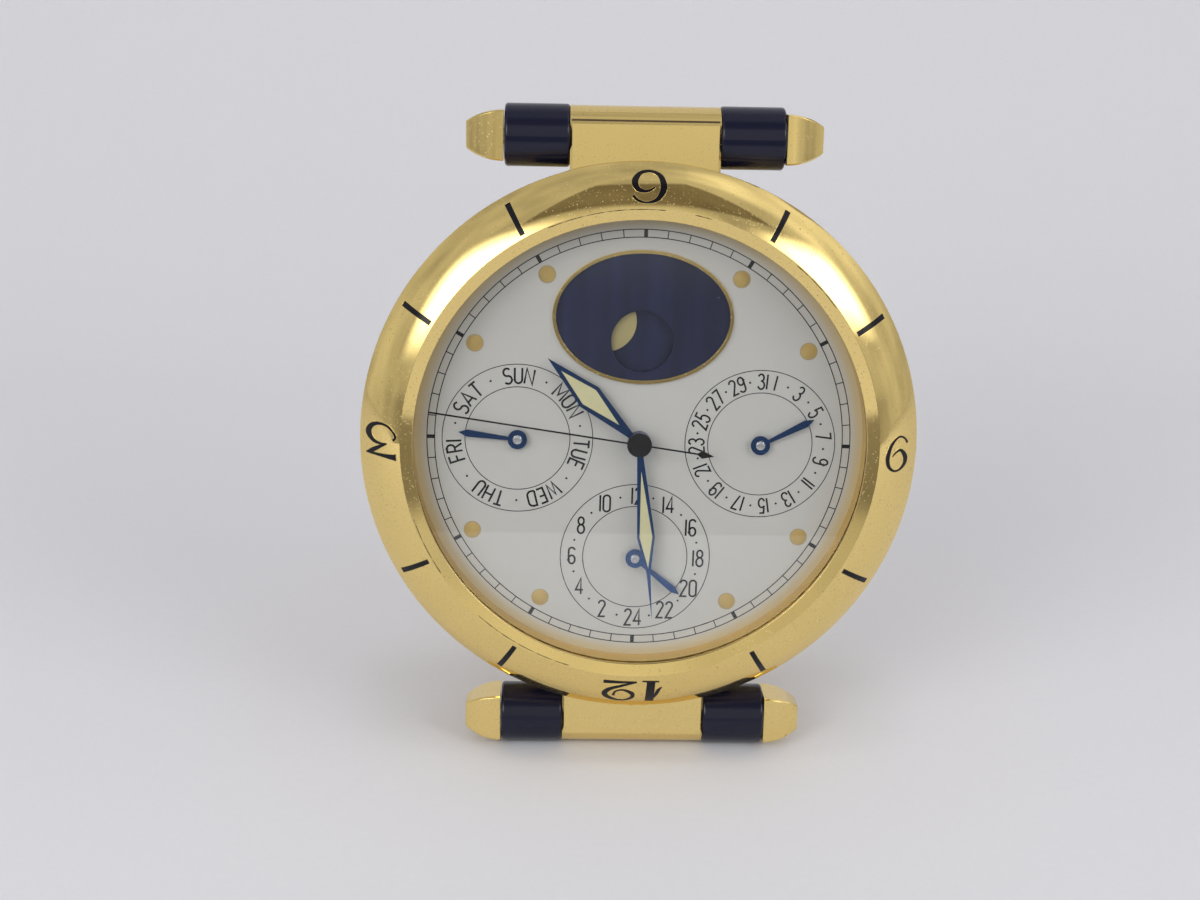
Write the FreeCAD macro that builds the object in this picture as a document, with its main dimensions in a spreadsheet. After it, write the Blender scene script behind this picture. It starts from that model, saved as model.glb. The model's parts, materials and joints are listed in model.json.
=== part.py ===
import FreeCAD, Part
import math
import operator
import os

import Sketcher
from FreeCAD import Placement, Rotation, Vector

# Desk clock with a calendar dial.
# Every piece is drawn in the clock's own frame: X to the viewer's right, Y towards 12 o'clock
# and Z out of the dial towards the viewer, with zero on the dial's face at its centre.
# At the end the whole clock is leaned back and stood on its lower rollers and its strut.

SIZES = {
    # how it stands
    "lean_back": 10.0,
    "strut_opening": 26.0,
    "dial_turn": 0.65,
    # case and bezel, radii from the dial's centre and levels above the dial's face
    "seat_radius": 41.0,
    "seat_wall": 3.0,
    "seat_level": 2.7,
    "case_front": 0.5,
    "case_lip": 2.5,
    "case_round": 1.5,
    "case_shoulder": 2.6,
    "dial_ledge": 1.0,
    "movement_step": 1.2,
    "bezel_overhang": 1.5,
    "bezel_rim": 1.05,
    "bezel_curve": 14.0,
    "bezel_crest": 1.3,
    "bezel_crest_offset": 0.2,
    "bezel_chamfer": 0.6,
    "bezel_lift": 0.15,
    "turning_gap": 0.06,
    "wire_radius": 0.3,
    "wire_gap": 0.05,
    "wire_level": 1.7,
    "enamel_angle": 1.2,
    "enamel_depth": 0.3,
    "enamel_edge": 1.1,
    "enamel_margin": 0.5,
    # crystal and inner flange
    "flange_width": 1.5,
    "flange_gap": 0.1,
    "flange_lip": 0.4,
    "crystal_level": 3.5,
    "crystal_thickness": 1.5,
    "crystal_bevel": 0.3,
    "gasket_width": 0.35,
    "lip_cover": 0.1,
    # dial
    "dial_thickness": 0.8,
    "subdial_inset": 16.7,
    "hour24_offset": 19.55,
    "dot_inset": 5.44,
    "dot_radius": 1.27,
    "dot_height": 0.3,
    "foot_inset": 3.2,
    "foot_radius": 0.6,
    "foot_length": 3.0,
    # moon window
    "moon_inset": 16.1,
    "moon_half_width": 14.5,
    "moon_half_height": 10.8,
    "moon_border": 0.55,
    "moon_border_height": 0.35,
    "moon_aperture": 5.0,
    "moon_aperture_drop": 3.9,
    "moon_axis_rise": 2.7,
    "moon_orbit": 6.91,
    "moon_radius": 4.95,
    "moon_phase": 211.4,
    "moon_disc_radius": 12.1,
    "moon_disc_thickness": 0.5,
    "moon_inlay": 0.1,
    "moon_clearance": 0.15,
    "moon_tooth": 0.5,
    "window_seat": 0.33,
    "window_gap": 0.05,
    # pipes and arbors of the hands
    "seconds_arbor": 0.35,
    "pipe_gap": 0.05,
    "pipe_wall": 0.35,
    "sub_arbor": 0.74,
    "arbor_gap": 0.06,
    # hands: blade lengths, widths and levels
    "hour_length": 20.3,
    "hour_half_width": 2.16,
    "hour_widest": 11.1,
    "hour_level": 1.4,
    "hour_inlay_half": 1.56,
    "hour_inlay_end": 17.3,
    "minute_length": 29.8,
    "minute_half_width": 1.45,
    "minute_widest": 15.6,
    "minute_shoulder": 21.6,
    "minute_point_half": 0.34,
    "minute_level": 2.05,
    "minute_inlay_half": 1.05,
    "minute_inlay_end": 20.8,
    "inlay_start": 4.5,
    "seconds_inset": 2.1,
    "seconds_tail": 12.2,
    "seconds_level": 2.7,
    "seconds_half_width": 0.13,
    "spade_half_width": 0.64,
    "spade_widest": 1.9,
    "spade_length": 2.7,
    "arbor_depth": 3.0,
    "hand_thickness": 0.3,
    "hand_gap": 0.1,
    "hand_neck": 0.5,
    "hub_rise": 0.65,
    "hub_radius": 1.9,
    "cap_radius": 2.0,
    "cap_height": 0.4,
    "sub_length": 9.57,
    "sub_half_width": 0.58,
    "sub_widest": 8.2,
    "sub_ring": 1.57,
    "sub_level": 0.75,
    # the angles that the hands show, clockwise from 12 o'clock
    "hour_angle": 312.0,
    "minute_angle": 174.1,
    "seconds_angle": 277.6,
    "day_angle": 276.2,
    "date_angle": 62.3,
    "hour24_angle": 128.8,
    # wheels under the dial
    "wheel_space": 2.2,
    "wheel_thickness": 0.6,
    "wheel_lift": 0.3,
    "hour_module": 0.3,
    "minute_wheel_sink": 1.0,
    "calendar_plate": 2.0,
    "minute_wheel_bearing": 45.0,
    "day_star_radius": 5.0,
    "date_star_radius": 8.0,
    "pivot_radius": 0.5,
    "pivot_length": 0.8,
    "rest_gap": 0.05,
    "arbor_proud": 0.15,
    "sink_margin": 0.35,
    "jumper_gap": 0.12,
    "jumper_length": 5.0,
    "jumper_arm": 0.45,
    "jumper_thickness": 0.4,
    # movement and back
    "movement_ring": 2.3,
    "movement_height": 5.8,
    "board_thickness": 0.8,
    "back_space": 1.0,
    "cover_thickness": 1.4,
    "cover_ledge": 4.6,
    "cover_gap": 0.1,
    "battery_radius": 10.0,
    "battery_height": 3.2,
    "battery_across": 6.0,
    "battery_down": 17.0,
    "battery_proud": 0.3,
    "battery_edge": 0.4,
    "strap_thickness": 0.25,
    "strap_foot": 2.4,
    "strap_width": 6.0,
    "board_half": 15.0,
    "board_low": 6.0,
    "board_height": 16.0,
    "gasket_height": 0.4,
    "back_gasket_width": 1.0,
    "screw_inset": 2.1,
    "screw_radius": 0.75,
    "screw_head": 1.4,
    "screw_length": 5.0,
    "screw_room": 0.2,
    "screw_slack": 0.03,
    # setting knob and calendar correctors
    "knob_across": 25.0,
    "knob_radius": 5.5,
    "knob_height": 3.0,
    "knob_gap": 0.3,
    "knob_edge": 0.6,
    "stem_radius": 1.5,
    "stem_depth": 2.2,
    "bush_wall": 1.1,
    "bush_flange": 0.5,
    "corrector_across": 26.0,
    "corrector_pitch": 12.0,
    "corrector_radius": 1.5,
    "corrector_flange": 2.2,
    "corrector_rise": 1.3,
    "corrector_reach": 1.5,
    "corrector_pin": 0.8,
    "corrector_travel": 1.0,
    "corrector_flange_height": 0.5,
    # strut
    "strut_height": 20.0,
    "strut_base": 0.9,
    "strut_skirt": 3.3,
    "strut_clear": 0.3,
    "strut_pin": 0.9,
    "strut_pin_gap": 0.05,
    "strut_barrel": 1.9,
    "strut_barrel_half": 10.8,
    "strut_ear": 2.0,
    "strut_ear_gap": 0.3,
    "strut_thickness": 2.0,
    "strut_foot_half": 8.0,
    # bars with their horns, rollers and caps
    "bar_clear": 5.0,
    "bar_depth": 4.3,
    "tube_radius": 4.8,
    "tube_length": 23.7,
    "horn_reach": 2.35,
    "horn_bevel": 0.35,
    "horn_root": 3.0,
    "horn_seat": 1.0,
    "rod_radius": 1.5,
    "rod_gap": 0.05,
    "roller_radius": 4.95,
    "roller_length": 10.3,
    "roller_round": 0.5,
    "cap_gap": 0.15,
    "cap_length": 5.9,
    "cap_base": 7.9,
    "cap_tip": 4.2,
    "cap_swell": 0.5,
    "cap_edge": 0.25,
    "cap_grip": 4.0,
}

# counts
CANNON_TEETH = 8
MINUTE_WHEEL_TEETH = 24
MINUTE_PINION_TEETH = 6
HOUR_TEETH = 24
IDLER_TEETH = 30
DAY_TEETH = 7
DATE_TEETH = 31
MOON_TEETH = 59
HOUR24_TEETH = 2 * HOUR_TEETH
DOT_HOURS = (1, 2, 4, 5, 7, 8, 10, 11)
ENAMEL_HOURS = (1, 2, 4, 5, 7, 8, 10, 11)
KNOB_FLUTES = 20
COVER_SCREWS = 4

# tooth sizes in modules: how far the root and the tip stand from the pitch circle, how deep
# a tooth is sunk in its blank, and half its thickness at the root and at the tip
ROOT_DEPTH = 1.1
TIP_HEIGHT = 0.8
TOOTH_SINK = 0.25
ROOT_FLAT = 0.1
ROOT_HALF = 0.85
TIP_HALF = 0.33

# pointed teeth: their share of the pitch, and their depth, which lessens as they get more
POINTED_SHARE = 0.9
POINTED_DEPTH = 2.2
POINTED_SPREAD = 3

# bearings in degrees anticlockwise from 3 o'clock
FOOT_BEARINGS = (45.0, 225.0)
MOON_JUMPER_BEARING = 215.0

doc = FreeCAD.newDocument("DeskClock")
sheet = doc.addObject("Spreadsheet::Sheet", "Sizes")
for row, (alias, number) in enumerate(SIZES.items(), start=1):
    sheet.set(f"A{row}", alias)
    sheet.set(f"B{row}", str(number))
    sheet.setAlias(f"B{row}", alias)
doc.recompute()


class Length:
    """A length or an angle that knows its value and the sheet formula that gives it."""

    def __init__(self, value, formula):
        self.value = value
        self.formula = formula

    def __add__(self, other):
        return joined(self, "+", other)

    def __radd__(self, other):
        return joined(other, "+", self)

    def __sub__(self, other):
        return joined(self, "-", other)

    def __rsub__(self, other):
        return joined(other, "-", self)

    def __mul__(self, other):
        return joined(self, "*", other)

    def __rmul__(self, other):
        return joined(other, "*", self)

    def __truediv__(self, other):
        return joined(self, "/", other)

    def __neg__(self):
        return joined(0.0, "-", self)


OPERATORS = {"+": operator.add, "-": operator.sub, "*": operator.mul, "/": operator.truediv}


def length(item):
    return item if isinstance(item, Length) else Length(float(item), f"({float(item)!r})")


def joined(first, sign, second):
    first, second = length(first), length(second)
    value = OPERATORS[sign](first.value, second.value)
    return Length(value, f"({first.formula} {sign} {second.formula})")


def size(alias):
    return Length(float(sheet.get(alias)), f"Sizes.{alias}")


def bind(item, path, amount):
    item.setExpression(path, length(amount).formula)


# Drawing helpers

ORIGIN = (-1, 1)
HORIZONTAL = -1
VERTICAL = -2
PLANES = {"face": "XY_Plane", "section": "XZ_Plane", "side": "YZ_Plane"}
sub_parts = []


def keep(item, name, place=None):
    """Registers a finished sub-part with its place in the clock's frame."""
    item.Label = name
    sub_parts.append((item, place or Placement()))
    return item


class Piece:
    """A body built from sketches on its own origin planes."""

    def __init__(self, name, place=None):
        self.name = name
        self.body = doc.addObject("PartDesign::Body", name + "_body")
        self.body.AllowCompound = True
        self.steps = 0
        keep(self.body, name, place)

    def label(self, kind):
        self.steps += 1
        return f"{self.name}_{kind}{self.steps}"

    def sketch(self, plane, level=0.0):
        """An empty sketch on one of the body's planes, lifted along the plane's normal."""
        drawing = self.body.newObject("Sketcher::SketchObject", self.label("sketch"))
        role = PLANES[plane]
        support = [f for f in self.body.Origin.OriginFeatures if f.Role == role][0]
        drawing.AttachmentSupport = [(support, "")]
        drawing.MapMode = "FlatFace"
        bind(drawing, "AttachmentOffset.Base.z", level)
        return drawing

    def feature(self, kind, drawing, **settings):
        made = self.body.newObject("PartDesign::" + kind, self.label(kind.lower()))
        made.Profile = drawing
        for path, amount in settings.items():
            if isinstance(amount, (Length, float)):
                bind(made, path, amount)
            else:
                setattr(made, path, amount)
        return made

    def pad(self, drawing, height, midplane=False):
        return self.feature("Pad", drawing, Length=length(height), Midplane=midplane)

    def pocket(self, drawing, depth, midplane=False):
        return self.feature("Pocket", drawing, Length=length(depth), Midplane=midplane)

    def revolve(self, outline, kind="Revolution", angle=360.0, facing=0.0):
        """Turns a half section about the clock's axis; facing is where a part turn is centred."""
        drawing = self.sketch("section")
        drawing.AttachmentOffset = Placement(Vector(), Rotation(Vector(0, 1, 0), facing))
        draw_outline(drawing, outline)
        axis = (drawing, ["V_Axis"])
        return self.feature(kind, drawing, ReferenceAxis=axis, Angle=length(angle), Midplane=True)

    def polar(self, original, count, axis="N_Axis"):
        pattern = self.body.newObject("PartDesign::PolarPattern", self.label("polar"))
        pattern.Originals = [original]
        pattern.Axis = (original.Profile[0], [axis])
        pattern.Angle = 360.0
        pattern.Occurrences = count
        self.body.Tip = pattern
        return pattern

    def disc(self, radius, bottom, height, across=0.0, up=0.0):
        drawing = self.sketch("face", bottom)
        draw_circle(drawing, across, up, radius)
        return self.pad(drawing, height)

    def hole(self, radius, top, depth, across=0.0, up=0.0):
        """A round hole cut downwards, away from the viewer, from a level."""
        drawing = self.sketch("face", top)
        draw_circle(drawing, across, up, radius)
        return self.pocket(drawing, depth)

    def plate(self, outline, bottom, height):
        drawing = self.sketch("face", bottom)
        draw_outline(drawing, outline)
        return self.pad(drawing, height)

    def chamfer(self, edges, width):
        doc.recompute()
        tip = self.body.Tip
        made = self.body.newObject("PartDesign::Chamfer", self.label("chamfer"))
        names = [f"Edge{i}" for i, edge in enumerate(tip.Shape.Edges, 1) if edges(edge)]
        made.Base = (tip, names)
        bind(made, "Size", width)
        return made


def pin_point(drawing, geometry, end, across, up, name):
    """Fixes a point of a sketch by its distances from the sketch's own axes."""
    for kind, amount, axis in (("DistanceX", across, VERTICAL), ("DistanceY", up, HORIZONTAL)):
        amount = length(amount)
        if amount.formula == "(0.0)":
            drawing.addConstraint(Sketcher.Constraint("PointOnObject", geometry, end, axis))
            continue
        rule = Sketcher.Constraint(kind, *ORIGIN, geometry, end, amount.value)
        rule.Name = f"{name}_{kind[-1].lower()}"
        drawing.addConstraint(rule)
        if "Sizes." in amount.formula:
            bind(drawing, "Constraints." + rule.Name, amount)


def arc_through(start, end, radius):
    """The short arc from start to end; a positive radius turns left on the way."""
    along = end - start
    half = along.Length / 2
    sign = 1 if radius > 0 else -1
    normal = Vector(-along.y, along.x, 0).normalize() * sign
    centre = start + along * 0.5 + normal * math.sqrt(max(radius * radius - half * half, 0))
    angles = [math.atan2((p - centre).y, (p - centre).x) for p in (start, end)]
    if sign < 0:
        angles.reverse()
    circle = Part.Circle(centre, Vector(0, 0, 1), abs(radius))
    return Part.ArcOfCircle(circle, angles[0], angles[1])


def draw_outline(drawing, outline):
    """A closed outline. Each corner is (across, up), with a third number, the radius of the
    arc that arrives there, where the edge to it is round."""
    corners = [tuple(length(item) for item in corner) for corner in outline]
    count = len(corners)
    ends = []
    for number in range(count):
        here = corners[number]
        there = corners[(number + 1) % count]
        start = Vector(here[0].value, here[1].value, 0)
        end = Vector(there[0].value, there[1].value, 0)
        if len(there) == 3:
            radius = there[2]
            drawing.addGeometry(arc_through(start, end, radius.value), False)
            rule = Sketcher.Constraint("Radius", number, abs(radius.value))
            rule.Name = f"arc{number}"
            drawing.addConstraint(rule)
            positive = radius if radius.value > 0 else -radius
            bind(drawing, "Constraints." + rule.Name, positive)
            ends.append((1, 2) if radius.value > 0 else (2, 1))
        else:
            drawing.addGeometry(Part.LineSegment(start, end), False)
            ends.append((1, 2))
    for number in range(count):
        after = (number + 1) % count
        drawing.addConstraint(
            Sketcher.Constraint("Coincident", number, ends[number][1], after, ends[after][0]))
    for number, corner in enumerate(corners):
        pin_point(drawing, number, ends[number][0], corner[0], corner[1], f"p{number}")


def draw_circle(drawing, across, up, radius):
    radius = length(radius)
    centre = Vector(length(across).value, length(up).value, 0)
    number = drawing.GeometryCount
    drawing.addGeometry(Part.Circle(centre, Vector(0, 0, 1), radius.value), False)
    rule = Sketcher.Constraint("Radius", number, radius.value)
    rule.Name = f"radius{number}"
    drawing.addConstraint(rule)
    bind(drawing, "Constraints." + rule.Name, radius)
    pin_point(drawing, number, 3, across, up, f"centre{number}")


def mirrored(points):
    """A closed outline symmetric about the up axis, from its right half, bottom to top."""
    return points + [(-across, up) for across, up in reversed(points)
                     if length(across).value > 0]


def ring(name, inner, outer, bottom, top, place=None):
    piece = Piece(name, place)
    piece.revolve([(inner, bottom), (outer, bottom), (outer, top), (inner, top)])
    return piece


def tooth(piece, teeth, module, bottom, height):
    """One tooth of a wheel, tapered to its tip, along the across axis; all follow by a pattern."""
    pitch = module * teeth / 2
    foot = pitch - module * ROOT_DEPTH
    sunk = foot - module * TOOTH_SINK
    flank = foot + module * ROOT_FLAT
    tip = pitch + module * TIP_HEIGHT
    wide, narrow = module * ROOT_HALF, module * TIP_HALF
    outline = [(sunk, -wide), (flank, -wide), (tip, -narrow), (tip, narrow), (flank, wide),
               (sunk, wide)]
    return piece.polar(piece.plate(outline, bottom, height), teeth)


def turned(angle, across=0.0, up=0.0, level=0.0):
    """A place in the clock's frame: a turn clockwise as the viewer sees it, then a shift."""
    return Placement(Vector(across, up, level), Rotation(Vector(0, 0, 1), -angle))


def primitive(kind, name, across=0.0, up=0.0, level=0.0, **settings):
    """A primitive solid with its sizes and its place bound to the sheet."""
    solid = doc.addObject("Part::" + kind, name)
    for path, amount in settings.items():
        bind(solid, path, amount)
    for path, amount in (("x", across), ("y", up), ("z", level)):
        bind(solid, "Placement.Base." + path, amount)
    return solid


def cylinder(name, radius, height, across=0.0, up=0.0, level=0.0):
    return primitive("Cylinder", name, across, up, level, Radius=radius, Height=height)


def cut(name, base, tool):
    made = doc.addObject("Part::Cut", name)
    made.Base = base
    made.Tool = tool
    return made


def gathered(kind, name, items):
    """Several solids as one fused solid, or side by side in one sub-part."""
    made = doc.addObject("Part::" + kind, name)
    if kind == "MultiFuse":
        made.Shapes = items
    else:
        made.Links = items
    return made


def square_root(amount):
    return Length(math.sqrt(amount.value), f"sqrt({amount.formula})")


def cosine(angle):
    return Length(math.cos(math.radians(angle.value)), f"cos({angle.formula} * 1 deg)")


def tangent(angle):
    return Length(math.tan(math.radians(angle.value)), f"tan({angle.formula} * 1 deg)")


# Radii and levels that several pieces share

bore_radius = size("seat_radius") - size("seat_wall")
case_radius = size("seat_radius") + size("case_lip")
bar_height = case_radius + size("bar_clear")
bezel_bore = size("seat_radius") + size("turning_gap")
bezel_radius = case_radius + size("bezel_overhang")
view_radius = bore_radius - size("flange_gap") - size("flange_width")
flange_outer = bore_radius - size("flange_gap")
gasket_outer = flange_outer - size("flange_lip")
crystal_radius = gasket_outer - size("gasket_width")
crystal_top = size("crystal_level") + size("crystal_thickness")
ledge_radius = view_radius - size("dial_ledge")
movement_bore = bore_radius - size("movement_step")

bezel_base = size("case_front") + size("bezel_lift")
bezel_edge = bezel_base + size("bezel_rim")
bezel_roof = size("seat_level") + size("bezel_lift")
bezel_under = crystal_top + size("bezel_crest_offset")
bezel_top = bezel_under + size("bezel_crest")
crest_radius = bore_radius + size("bezel_crest_offset")
lip_radius = view_radius - size("lip_cover")

dial_back = -size("dial_thickness")
plate_top = dial_back - size("wheel_space")
plate_back = plate_top - size("calendar_plate")
movement_back = plate_back - size("movement_height")
cover_inside = movement_back - size("board_thickness") - size("back_space")
case_back = cover_inside - size("cover_thickness")
shoulder_back = -size("case_shoulder")
recess_radius = movement_bore + size("cover_ledge")
screw_circle = recess_radius - size("screw_inset")
gasket_in = movement_bore + size("gasket_width")
gasket_out = gasket_in + size("back_gasket_width")
ring_outer = movement_bore - size("cover_gap")
ring_inner = ring_outer - size("movement_ring")
movement_radius = ring_inner - size("cover_gap")

wheel_bottom = plate_top + size("wheel_lift")
sink_floor = plate_top - size("minute_wheel_sink")

seconds_bore = size("seconds_arbor") + size("pipe_gap")
cannon_outer = seconds_bore + size("pipe_wall")
hour_bore = cannon_outer + size("pipe_gap")
hour_pipe = hour_bore + size("pipe_wall")


# Case

wire_half = size("wire_radius") + size("wire_gap")
wire_low = size("wire_level") - wire_half
wire_high = size("wire_level") + wire_half
groove_in = size("seat_radius") - wire_half
groove_out = bezel_bore + wire_half


def case_body():
    piece = Piece("case_body")
    seat = size("seat_radius")
    back_round = size("case_round")
    piece.revolve([
        (bore_radius, size("seat_level")),
        (bore_radius, dial_back),
        (ledge_radius, dial_back),
        (ledge_radius, shoulder_back),
        (movement_bore, shoulder_back),
        (movement_bore, cover_inside),
        (gasket_in, cover_inside),
        (gasket_in, cover_inside + size("gasket_height")),
        (gasket_out, cover_inside + size("gasket_height")),
        (gasket_out, cover_inside),
        (recess_radius, cover_inside),
        (recess_radius, case_back),
        (case_radius - back_round, case_back),
        (case_radius, case_back + back_round, back_round),
        (case_radius, size("case_front")),
        (seat, size("case_front")),
        (seat, wire_low),
        (groove_in, wire_low),
        (groove_in, wire_high),
        (seat, wire_high),
        (seat, size("seat_level")),
    ])
    depth = size("screw_length") - size("cover_thickness") + size("screw_room")
    drawing = piece.sketch("face", cover_inside + depth)
    draw_circle(drawing, screw_circle, 0.0, size("screw_radius"))
    piece.polar(piece.pocket(drawing, depth), COVER_SCREWS)
    return piece


case_body()


# Turning bezel, its enamel bars and the wire that holds it on

def slope_level(radius):
    """The level of the bezel's face, an arc from its rim to its crest, at a radius."""
    across = bezel_radius - crest_radius
    up = bezel_top - bezel_edge
    span = square_root(across * across + up * up)
    curve = size("bezel_curve")
    offset = square_root(curve * curve - span * span / 4) / span
    centre_radius = (bezel_radius + crest_radius) / 2 - up * offset
    centre_level = (bezel_edge + bezel_top) / 2 - across * offset
    past = radius - centre_radius
    return centre_level + square_root(curve * curve - past * past)


enamel_outer = bezel_radius - size("enamel_edge")
enamel_inner = crest_radius + size("enamel_margin")
enamel_outline = [
    (enamel_outer, slope_level(enamel_outer)),
    (enamel_inner, slope_level(enamel_inner), size("bezel_curve")),
    (enamel_inner, slope_level(enamel_inner) - size("enamel_depth")),
    (enamel_outer, slope_level(enamel_outer) - size("enamel_depth"), -size("bezel_curve")),
]


def enamel_bars(piece, kind):
    """Eight inlays, at every hour but the quarters, or the grooves that take them."""
    for facing in (30.0, 60.0):
        bar = piece.revolve(enamel_outline, kind, size("enamel_angle"), facing)
        piece.polar(bar, 4, "V_Axis")


def bezel_ring():
    piece = Piece("bezel_ring")
    piece.revolve([
        (bezel_bore, bezel_base),
        (bezel_radius, bezel_base),
        (bezel_radius, bezel_edge),
        (crest_radius, bezel_top, size("bezel_curve")),
        (lip_radius, bezel_top - size("bezel_chamfer")),
        (lip_radius, bezel_under),
        (crest_radius, bezel_under),
        (crest_radius, bezel_roof),
        (bezel_bore, bezel_roof),
        (bezel_bore, wire_high),
        (groove_out, wire_high),
        (groove_out, wire_low),
        (bezel_bore, wire_low),
    ])
    enamel_bars(piece, "Groove")


def bezel_wire():
    """The sprung wire, four-sided, between the case's groove and the bezel's."""
    middle = (size("seat_radius") + bezel_bore) / 2
    half, level = size("wire_radius"), size("wire_level")
    Piece("bezel_wire").revolve([(middle - half, level), (middle, level - half),
                                 (middle + half, level), (middle, level + half)])


bezel_ring()
enamel_bars(Piece("bezel_enamel"), "Revolution")
bezel_wire()


# Flange, crystal and its gasket

def flange_ring():
    Piece("flange_ring").revolve([
        (view_radius, 0.0),
        (flange_outer, 0.0),
        (flange_outer, crystal_top),
        (gasket_outer, crystal_top),
        (gasket_outer, size("crystal_level")),
        (view_radius, size("crystal_level")),
    ])


def crystal():
    bevel = size("crystal_bevel")
    Piece("crystal").revolve([
        (0.0, size("crystal_level")),
        (crystal_radius, size("crystal_level")),
        (crystal_radius, crystal_top - bevel),
        (crystal_radius - bevel, crystal_top),
        (0.0, crystal_top),
    ])


flange_ring()
crystal()
ring("crystal_gasket", crystal_radius, gasket_outer, size("crystal_level"),
     crystal_top - size("crystal_bevel"))


# Dial and what is set on it

def along_bearing(distance, bearing):
    angle = math.radians(bearing)
    return (distance * math.cos(angle), distance * math.sin(angle))


sub_hole = size("sub_arbor") + size("arbor_gap")
subdial_offset = view_radius - size("subdial_inset")
window_centre = view_radius - size("moon_inset")
day_place = (-subdial_offset, length(0.0))
date_place = (subdial_offset, length(0.0))
hour24_place = (length(0.0), -size("hour24_offset"))
moon_place = (length(0.0), window_centre + size("moon_axis_rise"))
foot_circle = movement_radius - size("foot_inset")
foot_places = [along_bearing(foot_circle, bearing) for bearing in FOOT_BEARINGS]


def oval(name, inside, bottom, height):
    """A prism on the moon window's oval, smaller by an even border all round."""
    edge = doc.addObject("Part::Ellipse", name + "_edge")
    bind(edge, "MajorRadius", size("moon_half_width") - inside)
    bind(edge, "MinorRadius", size("moon_half_height") - inside)
    bind(edge, "Placement.Base.y", window_centre)
    bind(edge, "Placement.Base.z", bottom)
    prism = doc.addObject("Part::Extrusion", name)
    prism.Base = edge
    prism.DirMode = "Custom"
    prism.Dir = Vector(0, 0, 1)
    prism.Solid = True
    bind(prism, "LengthFwd", height)
    return prism


def dial_plate():
    """The dial with its oval window, the holes for the hands and two feet behind."""
    thick = size("dial_thickness")
    disc = cylinder("dial_disc", flange_outer, thick, level=dial_back)
    cutters = [oval("dial_window", size("window_seat"), dial_back, thick)]
    cutters.append(cylinder("dial_centre", hour_pipe + size("arbor_gap"), thick,
                            level=dial_back))
    for number, (across, up) in enumerate((day_place, date_place, hour24_place)):
        cutters.append(cylinder(f"dial_hole{number}", sub_hole, thick, across, up, dial_back))
    solids = [cut("dial_blank", disc, gathered("MultiFuse", "dial_cutters", cutters))]
    for number, (across, up) in enumerate(foot_places):
        solids.append(cylinder(f"dial_foot{number}", size("foot_radius"), size("foot_length"),
                               across, up, dial_back - size("foot_length")))
    keep(gathered("MultiFuse", "dial_with_feet", solids), "dial_plate")


def moon_window():
    """The gold border on the dial and the plate with the round aperture in the dial's oval."""
    height = size("moon_border_height")
    thick = size("dial_thickness")
    outer = oval("frame_outer", length(0.0), length(0.0), height)
    inner = oval("frame_inner", size("moon_border"), length(0.0), height)
    keep(cut("frame_solid", outer, inner), "moon_window_frame")
    blank = oval("window_blank", size("window_seat") + size("window_gap"), dial_back, thick)
    aperture = cylinder("window_aperture", size("moon_aperture"), thick,
                        up=window_centre - size("moon_aperture_drop"), level=dial_back)
    keep(cut("window_solid", blank, aperture), "moon_window_plate")


def luminous_dots():
    """Low domes of luminous paint, each the cap of a larger ball."""
    base, rise = size("dot_radius"), size("dot_height")
    ball = (base * base + rise * rise) / (rise * 2)
    latitude = math.degrees(math.asin((ball.value - rise.value) / ball.value))
    dots = []
    for hour in DOT_HOURS:
        across, up = along_bearing(view_radius - size("dot_inset"), 90 - 30 * hour)
        dot = primitive("Sphere", f"dot{hour}", across, up, rise - ball, Radius=ball)
        dot.Angle1 = latitude
        dots.append(dot)
    keep(gathered("Compound", "dots_set", dots), "luminous_dots")


dial_plate()
moon_window()
luminous_dots()


# Hands. Each is drawn pointing to 12 o'clock and turned to the angle that it shows.

hour_top = size("hour_level") + size("hand_thickness")
minute_top = size("minute_level") + size("hand_thickness")
seconds_top = size("seconds_level") + size("hand_thickness") / 2
sub_top = size("sub_level") + size("hand_thickness")


def hand(name, outline, level, hub, hub_bottom, bore, angle, thick):
    """A flat blade on a round hub that is bored for its pipe."""
    piece = Piece(name, turned(angle.value))
    piece.plate(mirrored(outline), level, thick)
    piece.disc(hub, hub_bottom, level + thick - hub_bottom)
    piece.hole(bore, level + thick, level + thick - hub_bottom)
    return piece


def inlay(blade, name, outline, level, angle):
    """The luminous filling of a blade, in an opening cut for it."""
    thick = size("hand_thickness")
    drawing = blade.sketch("face", level + thick)
    draw_outline(drawing, mirrored(outline))
    blade.pocket(drawing, thick)
    Piece(name, turned(angle.value)).plate(mirrored(outline), level, thick)


def hour_hand():
    neck, wide, thick = size("hand_neck"), size("hour_widest"), size("hand_thickness")
    outline = [(neck, 0.0), (neck, size("hub_radius")), (size("hour_half_width"), wide),
               (0.0, size("hour_length"))]
    blade = hand("hour_hand", outline, size("hour_level"), size("hub_radius"),
                 size("hub_rise"), hour_pipe, size("hour_angle"), thick)
    window = [(0.0, size("inlay_start")), (size("hour_inlay_half"), wide),
              (0.0, size("hour_inlay_end"))]
    inlay(blade, "hour_lume", window, size("hour_level"), size("hour_angle"))


def minute_hand():
    neck, wide, thick = size("hand_neck"), size("minute_widest"), size("hand_thickness")
    outline = [(neck, 0.0), (neck, size("hub_radius")), (size("minute_half_width"), wide),
               (size("minute_point_half"), size("minute_shoulder")),
               (0.0, size("minute_length"))]
    blade = hand("minute_hand", outline, size("minute_level"), size("hub_radius"),
                 hour_top + size("hand_gap"), cannon_outer, size("minute_angle"), thick)
    window = [(0.0, size("inlay_start")), (size("minute_inlay_half"), wide),
              (0.0, size("minute_inlay_end"))]
    inlay(blade, "minute_lume", window, size("minute_level"), size("minute_angle"))


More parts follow.
